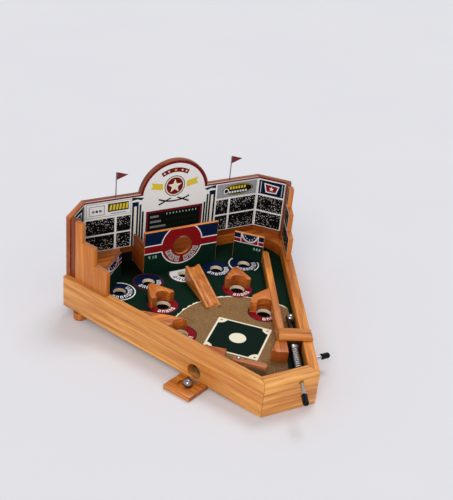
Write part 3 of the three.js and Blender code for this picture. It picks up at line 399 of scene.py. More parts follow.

# The plunger's rod has painted shade from a depth on, and its spring up to just over the rod's
# axis.
ROD_SHADE_START = -0.142
SPRING_SHADE_RISE = 0.0004
rod_axis = CABINET @ lane_point(0, 0, PLUNGER_Z)
spring_shade_level = rod_axis.z - rod_axis.y * tan(LEAN) + SPRING_SHADE_RISE
CHROME = metal("chrome", (0.56, 0.56, 0.58, 1), 0.14)
SPRING_STEEL = metal("spring_steel", (0.94, 0.94, 0.96, 1), 0.14, dark_under=spring_shade_level)
SHADED_ROD_STEEL = metal("plunger_steel", (0.6, 0.6, 0.62, 1), 0.14, dark_from=ROD_SHADE_START)
BALL_STEEL = metal("ball_steel", (0.36, 0.36, 0.38, 1), 0.1)
STEEL = metal("dark_steel", (0.28, 0.25, 0.25, 1), 0.35)
VINYL = vinyl("black_vinyl", linear(6, 6, 7))
PEACH = ink("hole_wall", linear(255, 230, 202), 0.6, spread=0.06)
FELT_RED = ink("pennant_cloth", linear(122, 50, 50), 0.75)


# Meshes.

scene = bpy.context.scene


def add_object(name, data):
    thing = bpy.data.objects.new(name, data)
    scene.collection.objects.link(thing)
    return thing


def piece(name, vertices, faces, material, body="root", smooth=None):
    mesh = bpy.data.meshes.new(name)
    mesh.from_pydata(vertices, [], faces)
    mesh.materials.append(material)
    if smooth is not None:
        mesh.shade_smooth()
        mesh.set_sharp_from_angle(angle=radians(smooth))
    thing = add_object(name, mesh)
    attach(thing, body)
    return thing


def slab(loops, place, bottom, top, vertices, faces):
    """Adds a closed plate whose outline and holes are given in a place's own plane."""
    flat = [[Vector((u, v, 0)) for u, v in loop] for loop in loops]
    points = [point for loop in flat for point in loop]
    start = len(vertices)
    for level in (top, bottom):
        vertices.extend(place @ Vector((point.x, point.y, level)) for point in points)
    count = len(points)
    for a, b, c in tessellate_polygon(flat):
        if (points[b] - points[a]).xy.cross((points[c] - points[a]).xy) < 0:
            b, c = c, b
        faces.append((start + a, start + b, start + c))
        faces.append((start + count + c, start + count + b, start + count + a))
    first = start
    for loop in flat:
        size = len(loop)
        area = sum(loop[i].xy.cross(loop[(i + 1) % size].xy) for i in range(size))
        outward = (area > 0) == (loop is flat[0])
        for i in range(size):
            a, b = first + i, first + (i + 1) % size
            face = (a, a + count, b + count, b)
            faces.append(face if outward else face[::-1])
        first += size


# Prints are thin plates, stacked in layers a little off the board.
LAYER = 0.055
PLATE = LAYER * 0.95
PRINT_GAP = 0.012


class Surface:
    """A board's face that carries prints, one piece for each colour."""

    def __init__(self, name, origin, right, up, slot="printed_board"):
        right, up = Vector(right).normalized(), Vector(up).normalized()
        normal = right.cross(up)
        basis = Matrix((right, up, normal)).transposed().to_4x4()
        self.name = name
        self.slot = slot
        self.place = CABINET @ Matrix.Translation(origin) @ basis
        self.parts = {}

    def add(self, color, layer, outline, *holes):
        vertices, faces = self.parts.setdefault(color, ([], []))
        bottom = PRINT_GAP + LAYER * (layer - 1)
        slab([outline, *holes], self.place, bottom, bottom + PLATE, vertices, faces)

    def box(self, color, layer, left, bottom, right, top, *holes):
        corners = [(left, bottom), (right, bottom), (right, top), (left, top)]
        self.add(color, layer, corners, *holes)

    def boxes(self, color, layer, count, pitch, left, bottom, right, top):
        """A row of equal boxes, a pitch apart; the first one's edges are given."""
        for shift in (i * pitch for i in range(count)):
            self.box(color, layer, left + shift, bottom, right + shift, top)

    def side_box(self, side, color, layer, near, far, bottom, top):
        """A box between two distances to one side of the face's middle line."""
        left, right = sorted((side * near, side * far))
        self.box(color, layer, left, bottom, right, top)

    def finish(self):
        for color, (vertices, faces) in self.parts.items():
            piece(f"{self.name}_{color}_print", vertices, faces, INKS[color])


def on_oval(x, y, wide, high, turn):
    """A point on an oval, at an angle in degrees."""
    angle = radians(turn)
    return (x + wide * cos(angle), y + high * sin(angle))


def arc(x, y, radius, start, end, steps=48):
    """Points on an arc between two angles in degrees."""
    angles = [start + (end - start) * i / steps for i in range(steps + 1)]
    return [on_oval(x, y, radius, radius, angle) for angle in angles]


def ring(x, y, radius, steps=64):
    return arc(x, y, radius, 0, 360 * (1 - 1 / steps), steps - 1)


def band(x, y, inner, outer, start, end, steps=32):
    return arc(x, y, outer, start, end, steps) + arc(x, y, inner, end, start, steps)


STAR_WAIST = 0.42


def star(x, y, radius):
    """A five-pointed star with one point up."""
    reaches = [radius * STAR_WAIST if i % 2 else radius for i in range(10)]
    return [on_oval(x, y, reach, reach, 90 + i * 36) for i, reach in enumerate(reaches)]


MARK_RIM, MARK_SIDE = 0.24, 0.29


def marks(surface, color, layer, x, y, inner, outer, start, end, count, fill=0.66):
    """Open blocks set round an arc, where the real print has words."""
    step = (end - start) / count
    rim = (outer - inner) * MARK_RIM
    inset = step * fill * MARK_SIDE
    for i in range(count):
        low = start + step * (i + (1 - fill) / 2)
        high = low + step * fill
        middle = (low + inset, high - inset)
        if i % 2:
            for top, *ends in ((outer, low, middle[0]), (outer, middle[1], high),
                               (inner + rim, *middle)):
                surface.add(color, layer, band(x, y, inner, top, *ends, 2))
        else:
            slot = band(x, y, inner + rim, outer - rim, *middle, 3)
            surface.add(color, layer, band(x, y, inner, outer, low, high, 3), slot)


def clip_top(outline, top):
    return [(u, min(v, top)) for u, v in outline]


def axes_about(axis):
    """A unit axis and two unit directions square to it."""
    axis = Vector(axis).normalized()
    across = axis.orthogonal().normalized()
    return axis, across, axis.cross(across)


def spoke(across, other, turns):
    angle = 2 * pi * turns
    return across * cos(angle) + other * sin(angle)


def tube_faces(rings, sides, flip=False):
    """Faces of a closed tube through rings of points; flip turns them all over."""
    faces = []
    for row in range(rings - 1):
        for i in range(sides):
            a, b = row * sides + i, row * sides + (i + 1) % sides
            faces.append((a, a + sides, b + sides, b) if flip else (a, b, b + sides, a + sides))
    first, last = tuple(range(sides)), tuple(range((rings - 1) * sides, rings * sides))
    return faces + ([first, last[::-1]] if flip else [first[::-1], last])


def lathe(name, profile, start, axis, material, body, replaced, place=CABINET, sides=56):
    """A round piece turned about an axis from a start point; the profile is radius against run."""
    axis, across, other = axes_about(axis)
    vertices = []
    for radius, run in profile:
        for i in range(sides):
            out = spoke(across, other, i / sides) * radius
            vertices.append(place @ (Vector(start) + axis * run + out))
    faces = tube_faces(len(profile), sides)
    thing = piece(name, vertices, faces, material, body, smooth=38)
    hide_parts(*replaced)


def rounded(radius, run, bend, steps=6):
    """Profile points that round off an end at a run; the bend is the rounding's radius."""
    spots = arc(radius - bend, run - bend, bend, 0, 90, steps)
    return [(max(reach, 0.02), spot) for reach, spot in spots]


# Points in a coil's turn and round its wire. The pitch of its closed end turns and the room at its
# ends are given in wire radii.
COIL_STEPS, WIRE_SIDES = 28, 10
CLOSED_TURNS, CLOSED_PITCH, END_ROOM = 0.8, 2.1, 1.7


def coil(name, start, axis, radius, wire, first, last, turns, replaced):
    """An unbroken helical wire about an axis, with a closed flat turn at each end."""
    axis, across, other = axes_about(axis)
    total = int(turns * COIL_STEPS)
    rest = CLOSED_TURNS * COIL_STEPS
    centres = []
    for i in range(total + 1):
        rise = min(max((i - rest) / (total - 2 * rest), 0), 1)
        closed = min(i, rest) / COIL_STEPS - min(total - i, rest) / COIL_STEPS
        middle = first + END_ROOM * wire + (last - first - 2 * END_ROOM * wire) * rise
        run = middle + CLOSED_PITCH * wire * closed
        out = spoke(across, other, i / COIL_STEPS) * radius
        centres.append(Vector(start) + axis * run + out)
    vertices = []
    for i, centre in enumerate(centres):
        heading = (centres[min(i + 1, total)] - centres[max(i - 1, 0)]).normalized()
        side = heading.cross(axis).normalized()
        normal = side.cross(heading)
        for k in range(WIRE_SIDES):
            out = spoke(side, normal, k / WIRE_SIDES) * wire
            vertices.append(CABINET @ (centre + out))
    faces = tube_faces(len(centres), WIRE_SIDES, flip=True)
    thing = piece(name, vertices, faces, SPRING_STEEL, smooth=60)
    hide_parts(replaced)
    return thing


def modify(board, kind, **settings):
    modifier = board.modifiers.new(kind.lower(), kind)
    for name, value in settings.items():
        setattr(modifier, name, value)


def soften(name, material, width):
    """Gives a CAD board its material and, for a width in millimetres, rounded edges."""
    board = frame["nodes"][name]
    board.material_slots[0].material = material
    board.data.shade_smooth()
    board.data.set_sharp_from_angle(angle=radians(30))
    if width:
        modify(board, "WELD", merge_threshold=0.00001)
        modify(board, "DECIMATE", decimate_type="DISSOLVE", angle_limit=radians(0.8))
        modify(board, "BEVEL", width=width * MM, segments=2, limit_method="ANGLE",
               angle_limit=radians(35), use_clamp_overlap=True)


# Boards and blocks of the cabinet: grain, stain and width of the rounded edges.
side_grain = {side: (CABINET.to_3x3() @ RAIL_AXES[side]).normalized() for side in (-1, 1)}
slant_grain = {side: Vector((1, -side, 0)) for side in (-1, 1)}
cross_grain = Vector((COS, -SIN, 0))
back_grain = (CABINET.to_3x3() @ Y_AXIS).normalized()
BOARDS = (
    ("front_rail", X_AXIS, HONEY, 1.3),
    ("left_side_rail", side_grain[-1], HONEY, 1.3),
    ("right_side_rail", side_grain[1], OAK, 1.3),
    ("main_backboard", X_AXIS, RUSSET, 0.5),
    ("left_back_panel", slant_grain[-1], AMBER, 0.4),
    ("right_back_panel", slant_grain[1], RUSSET, 0.4),
    ("left_corner_post right_corner_post", Z_AXIS, CALM_RUSSET, 0.5),
    ("left_stepped_panel right_stepped_panel", Z_AXIS, CALM_OAK, 0.5),
    ("bottom_board return_guide_strip", X_AXIS, HARDBOARD, 0.2),
    ("left_field_hood right_field_hood", back_grain, AMBER, 0.5),
    ("right_infield_hood left_infield_hood", X_AXIS, AMBER, 0.5),
    ("ramp", back_grain, OAK, 0.35),
    ("left_fence_side_board right_fence_side_board", back_grain, RUSSET, 0.4),
    ("left_corner_block right_guide_block", X_AXIS, AMBER, 0.4),
    ("lane_divider", side_grain[1], OAK, 0.5),
    ("divider_end_block", side_grain[1], AMBER, 0.5),
    ("lane_bridge", cross_grain, OAK, 1),
    # The plunger guide's near-black stain is painted shade under the bridge.
    ("plunger_guide", cross_grain, SHADE_STAIN, 0.3),
    ("bat_wedge", side_grain[-1], AMBER, 0.5),
    ("bat_rod_guide", X_AXIS, RUSSET, 0.3),
    ("ball_tray", side_grain[-1], OAK, 0.5),
    ("center_fence_panel", X_AXIS, OAK, 0.3),
    # The left field panel's stain, darker than the right one's, is painted shade.
    ("left_field_panel", slant_grain[-1], RUSSET, 0.3),
    ("right_field_panel", slant_grain[1], PALE, 0.3),
)
for names, grain, stain, width in BOARDS:
    for name in names.split():
        soften(name, wood(f"{name}_wood", grain, stain), width)
soften("playfield_board", field_paint_and_shade(), 0)
for name in ("left_pennant", "right_pennant"):
    soften(name, FELT_RED, 0)


# Prints on the field.
field = Surface("playfield", (0, 0, FIELD), X_AXIS, Y_AXIS, "green_board")
DIRT_CENTRE, DIRT_RADIUS = (0, 120), 100
DIRT_ARC = (24, 156, 90)
INNER = RAIL_THICKNESS + MARGIN
BAT_HOLE = 3.4
jitter = random.Random(11)


def dirt_edge(reach):
    return arc(*DIRT_CENTRE, DIRT_RADIUS + reach, *DIRT_ARC)


def rail_side(y):
    """Half the playfield's width between the rails, less the margin."""
    return FRONT_HALF + y * TAN - INNER / COS


front_line = FRONT_THICKNESS + MARGIN
front_corner = rail_side(front_line)
back_edge = [(max(-rail_side(y), min(x, rail_side(y))), y) for x, y in dirt_edge(0)]
shaft_hole = ring(*PIVOT[:2], BAT_HOLE, 24)
dirt_holes = [ring(*HOLES[name], HOLE_RADIUS) for name in ("left_infield", "right_infield")]
field.add("dirt", 1, [(-front_corner, front_line), (front_corner, front_line), *back_edge],
              shaft_hole, *dirt_holes)

# A pale line of uneven width follows the edge of the dirt.
EDGE_HALF, EDGE_GROWTH = 0.4, 0.022
inner_edge = [(x, y) for x, y in dirt_edge(-EDGE_HALF) if abs(x) < rail_side(y) - 0.5]
outer_edge = []
for x, y in dirt_edge(EDGE_HALF)[2:-2]:
    reach = 1 + jitter.uniform(0.0, EDGE_GROWTH)
    outer_edge.append((DIRT_CENTRE[0] + (x - DIRT_CENTRE[0]) * reach,
                       DIRT_CENTRE[1] + (y - DIRT_CENTRE[1]) * reach))
outer_edge = [(x, y) for x, y in outer_edge if abs(x) < rail_side(y) - 0.8]
field.add("cream", 2, outer_edge + inner_edge[::-1])

# The plunger's bay is painted dark: painted shade where the right rail and the bridge shade the
# lane.
BAY_END = 112
bay = []
for across in (GAP - LANE_WIDTH / 2, LANE_WIDTH / 2 - MARGIN):
    bay.append([lane_point(run, across).xy for run in ((front_line + across * SIN) / COS, BAY_END)])
field.add("shade", 5, [*bay[0], *bay[1][::-1]])

# The infield square, turned on its corner, with a base at each corner.
SQUARE_CENTRE = Vector((-9.8, 122.1))
SQUARE_HALF = 37.65
LINE = 2.6
CORNER_PATCH = 11.5
BASE_INSET, BASE_HALF = 5.2, 2.3
MOUND = 11.45


def diamond(x, y, half):
    return [(x, y - half), (x + half, y), (x, y + half), (x - half, y)]


def turned_square(half):
    return diamond(*SQUARE_CENTRE, half * sqrt(2))


field.add("cream", 2, turned_square(SQUARE_HALF))
field.add("pine", 3, turned_square(SQUARE_HALF - LINE))
for turn, corner in zip((45, 135, 225, 315), turned_square(SQUARE_HALF - LINE / 2)):
    field.add("cream", 4, [corner, *arc(*corner, CORNER_PATCH, turn, turn + 90, 16)])
    base = Vector(corner) + (SQUARE_CENTRE - Vector(corner)).normalized() * BASE_INSET
    field.add("tan", 5, diamond(*base, BASE_HALF))
field.add("cream", 4, ring(*SQUARE_CENTRE, MOUND))

# Rings round the scoring holes, with marks for letters and pieces of a white line.
RING = 22.5
RING_LINE = 1.3
RING_CUT = 306
WHITE_LINE = (RING - 1.1, RING + 0.7)
LETTER_ROOM = 2.2
LETTERS = (RING - 10.4, RING - 4)


def score_ring(name, color, outline, span, count, lines=(), letter="white"):
    x, y = HOLES[name]
    radius = hole_radius(name)
    hole = ring(x, y, radius)
    if outline:
        cut = RING_CUT if name == "deep_center" else DEPTH
        field.add(outline, 2, clip_top(ring(x, y, RING), cut), hole)
        field.add(color, 3, clip_top(ring(x, y, RING - RING_LINE), cut), hole)
    else:
        field.add(color, 3, ring(x, y, RING - 2 * RING_LINE), hole)
    for start, end in lines:
        field.add("white", 3, band(x, y, *WHITE_LINE, start, end))
    inner = max(radius + LETTER_ROOM, LETTERS[0])
    marks(field, letter, 4, x, y, inner, LETTERS[1], *span, count)


score_ring("left_corner", "navy", None, (200, 390), 8, lines=((-140, 100),))
score_ring("left_field", "navy", "maroon", (190, 360), 8)
score_ring("deep_center", "white", "maroon", (176, 364), 7, letter="black")
score_ring("right_field", "navy", "black", (190, 360), 8)
score_ring("right_corner", "navy", None, (190, 360), 8, lines=((110, 215), (-75, 35)))
for name in ("left_hooded", "right_hooded"):
    score_ring(name, "red", "navy", (218, 318), 5)
for name in ("left_infield", "right_infield"):
    score_ring(name, "red", "navy", (230, 320), 4)
field.finish()

# Walls of the holes: pale paint above, painted shade below. Heights are above the board's
# underside.
WALL_SHADE_TOP = FIELD_THICKNESS - 5.2
WALL_GAP, WALL_END, WALL = 0.05, 0.1, 0.3
WALL_SIDES = 48
for name, (x, y) in HOLES.items():
    radius = hole_radius(name) - WALL_GAP
    for label, low, high, material in (
            ("paint", WALL_SHADE_TOP, FIELD_THICKNESS - WALL_END, PEACH),
            ("painted_shade", WALL_END, WALL_SHADE_TOP, INKS["black"])):
        wall = [(radius, low), (radius, high), (radius - WALL, high), (radius - WALL, low)]
        vertices = []
        for reach, z in wall:
            for u, v in ring(x, y, reach, WALL_SIDES):
                vertices.append(CABINET @ Vector((u, v, FIELD - FIELD_THICKNESS + z)))
        open_faces = tube_faces(len(wall) + 1, WALL_SIDES)[:-2]
        faces = [tuple(spot % len(vertices) for spot in face) for face in open_faces]
        piece(f"{name}_hole_{label}", vertices, faces, material, smooth=30)


# Prints on the backdrop: a sheet with a border, windows and signs. Places are given from the
# face's middle line and from the table.
FACE_Y = DEPTH - BOARD
SHEET_LOW = 57.5
INNER_BACK = 140.2
WINDOW_ROWS = ((58.5, 83), (85.6, 110))
SIGN_LOW, SIGN_HIGH = 113, 136
LEFT_BAY, RIGHT_BAY = (-138.6, -69), (70.6, 138.6)
back = Surface("backdrop", (0, FACE_Y, 0), X_AXIS, Z_AXIS)


def crest(inset, arch_inset):
    """The backdrop's top outline from left to right, moved inward."""
    radius = ARCH_RADIUS - arch_inset
    top = CREST - inset
    base = degrees(asin((top - ARCH_Z) / radius))
    over = arc(ARCH_X, ARCH_Z, radius, 180 - base, base)
    return [(-INNER_BACK, top), *over, (INNER_BACK, top)]


def windows(surface, *spans):
    for low, high in WINDOW_ROWS:
        for left, right in spans:
            surface.box("crowd", 2, left, low, right, high)


back.add("white", 1, [(-INNER_BACK, SHEET_LOW), (INNER_BACK, SHEET_LOW),
                          *crest(0.5, 1.6)[::-1]])
back.add("maroon", 2, crest(1.3, 1.6) + crest(3.9, 5.6)[::-1])
windows(back, (LEFT_BAY[0], -94.4), (-91, LEFT_BAY[1]))
windows(back, (RIGHT_BAY[0], 91.4), (94.8, RIGHT_BAY[1]))

# The left bay's sign: three dots in a frame, and a row of slanting bars over a line.
back.box("silver", 2, LEFT_BAY[0], SIGN_LOW, LEFT_BAY[1], SIGN_HIGH)
back.box("white", 3, -137.2, SIGN_LOW + 1.3, -70.4, SIGN_HIGH - 1.3)
back.box("grey", 4, -134, SIGN_LOW + 3.4, -110, SIGN_HIGH - 4)
back.box("white", 5, -132.8, SIGN_LOW + 4.6, -111.2, SIGN_HIGH - 5.2)
for x in (-127.5, -122, -116.5):
    back.add("black", 5, ring(x, SIGN_LOW + 10.5, 2.1, 24))
back.box("black", 4, -105, SIGN_LOW + 7, -73, SIGN_HIGH - 3)
BAR_LOW, BAR_HIGH = SIGN_LOW + 9, SIGN_HIGH - 5
for i in range(6):
    left = -103 + i * 5
    back.add("gold", 5, [(left, BAR_LOW), (left + 3.4, BAR_LOW), (left + 4.6, BAR_HIGH),
                             (left + 1.2, BAR_HIGH)])
back.box("grey", 4, -101, SIGN_LOW + 3, -77, SIGN_LOW + 4.6)

# The right bay's sign: an oval with two rows of bars beside a ring.
back.box("grey", 2, RIGHT_BAY[0], SIGN_LOW, RIGHT_BAY[1], SIGN_HIGH)
OVAL_CENTRE = (106, 124.6)
for color, layer, wide, high in (("black", 3, 26, 9.2), ("gold", 4, 24.8, 8.2),
                                 ("black", 5, 24.2, 7.6)):
    oval = [on_oval(*OVAL_CENTRE, wide, high, i * 360 / 64) for i in range(64)]
    back.add(color, layer, oval)
back.boxes("gold", 6, 6, 4.8, 92, 125.6, 95.2, 130)
back.boxes("white", 6, 7, 4.6, 91, 119.4, 94, 122.6)
for radius, color, layer in ((4.6, "white", 6), (3.2, "black", 7)):
    back.add(color, layer, ring(86.2, 123.4, radius, 32))

# The arch: a star on a disc between plain ribbons, under a band of small stars.
EMBLEM_Z = 146
BAND_Z, BAND_MIDDLE = EMBLEM_Z - 14, 39.5
back.add("maroon", 2, band(ARCH_X, BAND_Z, 36, 43, 58, 122))
for angle in (64, 74, 106, 116):
    spot = on_oval(ARCH_X, BAND_Z, BAND_MIDDLE, BAND_MIDDLE, angle)
    back.add("cream", 3, star(*spot, 2.2))
back.add("gold", 3, star(ARCH_X, EMBLEM_Z + 25.4, 2.6))
for color, layer, radius in (("black", 2, 16.4), ("cream", 3, 15.2), ("maroon", 4, 13.4)):
    back.add(color, layer, ring(ARCH_X, EMBLEM_Z, radius))
back.add("cream", 5, star(ARCH_X, EMBLEM_Z - 0.4, 11.4))
RIBBON = ((19, 5.5), (38, 9.5), (35, 4.5), (38.5, -0.5), (19, -4.5))
TAIL = ((4, -19.5), (24, -29), (25, -26.6), (6, -18.2))
for side in (-1, 1):
    for color, outline in (("gold", RIBBON), ("black", TAIL)):
        back.add(color, 2, [(ARCH_X + side * u, EMBLEM_Z + v) for u, v in outline])
back.add("black", 2, band(ARCH_X, EMBLEM_Z + 34, 57, 59.4, 245, 295))

# Scoreboard: rows of blocks instead of names, and ten places for the score. Each row is a height
# and its number of blocks.
BOARD_LEFT, BOARD_RIGHT = -44.8, 47.4
ROWS = ((100, 7), (91.6, 9), (83.2, 13))
BLOCK_PITCH, SCORE_PITCH = 2, 5.3
back.box("maroon", 2, BOARD_LEFT, 73, BOARD_RIGHT, 110)
back.box("black", 3, BOARD_LEFT + 3.6, 75.5, BOARD_RIGHT - 3.6, 106.4)
for z, count in ROWS:
    left = BOARD_LEFT + 7
    back.boxes("grey", 4, count, BLOCK_PITCH, left, z - 1.7, left + 1.4, z + 1.7)
back.boxes("mint", 4, 10, SCORE_PITCH, -12, 101, -10.4, 103.4)
for z, _ in ROWS[1:]:
    back.boxes("green", 4, 10, SCORE_PITCH, -12.6, z - 1.8, -9.4, z + 2.2)

# Columns with flags beside the scoreboard.
COLUMNS = (("navy", 2, 57.2, 67.4, 129), ("cream", 3, 60.2, 64.2, 122),
           ("teal", 2, 52.8, 55.8, 124), ("black", 2, 48.6, 51.6, 112))
FLAG = ((49, 134), (57, 135.6), (68, 137), (68, 131.6), (60, 133), (53, 130.6))
RIGHT_SHIFT = 0.6
for side in (-1, 1):
    shift = RIGHT_SHIFT if side > 0 else 0
    for color, layer, near, far, high in COLUMNS:
        back.side_box(side, color, layer, near + shift, far + shift, SHEET_LOW, high)
    back.add("teal", 2, [(side * u, v) for u, v in FLAG])

# Under the sheet: a lining painted light for the lit wood seen through the pocket, and painted
# shade left of it.
back.box("lit_lining", 1, -58.5, FIELD + GAP, 49.5, SHEET_LOW - 0.2)
# Painted shade: a near-black sheet on the back wall, in the shadow of the left corner.
back.box("shade", 1, -86, FIELD - 1, -64.2, 48.2)
back.finish()

# The slanting panels.
outer_corner = Vector((OVERALL_WIDTH / 2 - CORNER_WIDTH, DEPTH))
rail_end = rail_point(1, RAIL_LENGTH, 5.7).xy
slant = (rail_end - outer_corner).normalized()
inward = Vector((slant.y, -slant.x))
inner_corner = outer_corner + inward * BOARD
PANEL_START, PANEL_END = 3.4, 47.5
PLATE_Z = 124.5
WHITE_PLATE = ((-12, 7.5), (12, 6), (8.5, -7), (-8.5, -7.5))
COLOR_PLATE = ((-10, 5.8), (10, 4.4), (7, -5.4), (-7, -5.8))
# The left panel's sign is black where the right one's is navy: painted shade.
for side, label, ground, tint in ((1, "right", "navy", "red"), (-1, "left", "black", "teal")):
    panel = Surface(f"{label}_slant", (side * inner_corner.x, inner_corner.y, 0),
                    (slant.x, side * slant.y, 0), Z_AXIS)
    panel.side_box(side, "white", 1, PANEL_START, PANEL_END, SHEET_LOW, CREST - 1.2)
    panel.side_box(side, "maroon", 2, PANEL_START, PANEL_END, CREST - 3.4, CREST - 1.2)
    left, right = sorted((side * (PANEL_START + 2), side * (PANEL_END - 2)))
    windows(panel, (left, right))
    panel.box(ground, 2, left, SIGN_LOW, right, SIGN_HIGH)
    for edge in (left + 3, right - 3.8):
        panel.box("white", 3, edge, SIGN_LOW + 1.6, edge + 0.8, SIGN_HIGH - 1.6)
    middle = (left + right) / 2
    for color, layer, plate in (("white", 3, WHITE_PLATE), (tint, 4, COLOR_PLATE)):
        panel.add(color, layer, [(middle + u, PLATE_Z + v) for u, v in plate])
    panel.add("white", 5, star(middle, PLATE_Z - 0.5, 4.2))
    panel.finish()


# The stepped panels' inner faces: on each step a white sheet with a window in it.
POST_RUN, TREAD, TOP_TREAD = 19, 24.2, 12.2
STEP_TOPS = (CREST - 55.5, CREST - 28.4, CREST)
STEP_ENDS = (TOP_TREAD + 2 * TREAD, TOP_TREAD + TREAD, TOP_TREAD)
STEP_FACE = 11.5
for side, label in ((1, "right"), (-1, "left")):
    start = rail_point(side, RAIL_LENGTH - POST_RUN, STEP_FACE)
    panel = Surface(f"{label}_step", start, RAIL_AXES[side] * -side, Z_AXIS)
    for far, low, high in zip(STEP_ENDS, (SHEET_LOW, *STEP_TOPS), STEP_TOPS):
        sheet_top = high - (0.01 if high < CREST else 0.8)
        panel.side_box(side, "white", 1, 0.2, far - 0.6, low + 0.01, sheet_top)
        panel.side_box(side, "crowd", 2, 1.8, far - 2.4, low + 1.4, high - 1.6)
    panel.finish()


# The fence: a striped board with a disc round its hole.
FENCE_Y = 0.8675 * DEPTH
FENCE_LEFT, FENCE_RIGHT, FENCE_TOP = -63.7 + MARGIN, 54.5 - MARGIN, 98.4
FENCE_LINE = 1.7
TARGET = (-3.2, FIELD + 0.565 * (FENCE_TOP - FIELD))
TARGET_RADIUS = 15.2
TARGET_LETTERS = (18.4, 27.6)
DISC_CENTRE = (-3.9, 72.2)
DISC = 31.9
STRIPE_LOW, STRIPE_HIGH = 64.8, 75.7
STRIPE_END = 18
fence = Surface("fence", (0, FENCE_Y, 0), X_AXIS, Z_AXIS, "green_board")
high_edge = FENCE_TOP - MARGIN
target = ring(*TARGET, TARGET_RADIUS + 0.05)
fence.box("green", 1, FENCE_LEFT, FIELD + GAP, FENCE_RIGHT, high_edge, target)
for left, right in ((FENCE_LEFT, TARGET[0] - STRIPE_END), (TARGET[0] + STRIPE_END, FENCE_RIGHT)):
    fence.box("white", 2, left, STRIPE_LOW - FENCE_LINE, right, STRIPE_HIGH + FENCE_LINE)
    fence.box("navy", 3, left, STRIPE_HIGH + FENCE_LINE, right, high_edge)
    fence.box("red", 6, left, STRIPE_LOW, right, STRIPE_HIGH)
for color, layer, radius in (("white", 4, DISC + FENCE_LINE), ("red", 5, DISC)):
    fence.add(color, layer, clip_top(ring(*DISC_CENTRE, radius, 96), high_edge), target)
for start, end in ((192, 262), (278, 348)):
    marks(fence, "silver", 7, *TARGET, *TARGET_LETTERS, start, end, 5, 0.84)


# Plain numbers in strokes of seven bars; only the digits that occur are listed.
STROKES = {"0": "abcdef", "1": "bc", "3": "abgcd", "4": "fgbc", "6": "afgedc", "8": "abcdefg"}


def number(surface, color, layer, text, x, z, height, weight):
    width = height * 0.55
    half = height / 2
    bars = {
        "a": (0, height - weight, width, height), "b": (width - weight, half, width, height),
        "c": (width - weight, 0, width, half), "d": (0, 0, width, weight),
        "e": (0, 0, weight, half), "f": (0, half, weight, height),
        "g": (0, half - weight / 2, width, half + weight / 2),
    }
    for i, digit in enumerate(text):
        left = x + i * (width + 0.48 * height)
        for bar in STROKES[digit]:
            u0, v0, u1, v1 = bars[bar]
            surface.box(color, layer, left + u0, z + v0, left + u1, z + v1)


number(fence, "mint", 2, "410", -56.6, 54.9, 5, 1)
fence.finish()

# The field panels with bunting.
PANEL_TOP = 75.9 - MARGIN
PANEL_TURN = radians(45)
BUNTING_LOW = 60.5
NUMBER_LOW = 51.3


def bunting(surface, left, right, base, top):
    """Swags of plain bunting: striped blocks beside a half rosette with stars."""
    surface.box("white", 2, left, base - 0.8, right, top)
    middle = (left + right) / 2 + 0.02 * (right - left)
    reach = (right - left) * 0.28
    tall = top - base
    for low, high in ((left, middle - reach - 1), (middle + reach + 1, right)):
        surface.box("navy", 3, low, base + 0.46 * tall, high, top)
        surface.box("red", 3, low, base + 0.2, high, base + 0.4 * tall)
    surface.box("red", 3, middle - reach, base + 0.2, middle + reach, top)
    for size, color, layer in ((1, "white", 4), (0.93, "red", 5), (0.89, "white", 6),
                               (0.83, "navy", 7)):
        fan = [(middle + u * reach * size, top - 0.4 + v * 0.86 * tall * size)
               for u, v in arc(0, 0, 1, 180, 360)]
        surface.add(color, layer, fan)
    for angle in (200, 235, 270, 305, 340):
        spot = on_oval(middle, top - 0.8, 0.6 * reach, 0.5 * tall, angle)
        surface.add("white", 8, star(*spot, 1.3))


for side, label, shares in ((-1, "left", (-0.547, 0.867)), (1, "right", (0.468, 0.871))):
    end = field_place(*shares)
    right = (cos(PANEL_TURN), -side * sin(PANEL_TURN), 0)
    wall = lane_point(0, DIVIDER_LEFT)
    inner = rail_side(end.y) if side < 0 else wall.x + (end.y - wall.y) * TAN
    width = (inner - abs(end.x)) / (cos(PANEL_TURN) + sin(PANEL_TURN) * TAN)
    panel = Surface(f"{label}_field_panel", (end.x, end.y, 0), right, Z_AXIS, "green_board")
    near, far = sorted((side * MARGIN, side * (width - 0.8)))
    panel.box("green", 1, near, FIELD + GAP, far, PANEL_TOP)
    bunting(panel, near, far, BUNTING_LOW, PANEL_TOP)
    text, start = ("380", far - 14.5) if side > 0 else ("360", near + 4)
    number(panel, "mint", 2, text, start, NUMBER_LOW, 4, 0.95)
    panel.finish()


# Round parts. The plunger's tip, flange and bare end are given along its rod from the front rail.
plunger_start = lane_point(0, 0, PLUNGER_Z)
ROD = 2.4
TIP = 138
BARE = 25
CAP, CAP_RUN, CAP_BORE = 4.1, 18, 11
FLANGE_FRONT, FLANGE_RUN, FLANGE = 71.6, 3.2, 6.4


def cap_profile(run, bore, side_start):
    """A dipped cap: a bore with a lip, a waist behind it and a rounded end."""
    return [(ROD + 0.15, bore), (ROD + 0.15, 0.5), (ROD + 0.5, 0), (CAP - 0.7, 0),
            (CAP - 0.1, 0.6), (CAP + 0.15, 1.4), (CAP - 0.05, 2.4), (CAP - 0.1, side_start),
            *rounded(CAP, run, CAP * 0.95, 10)]


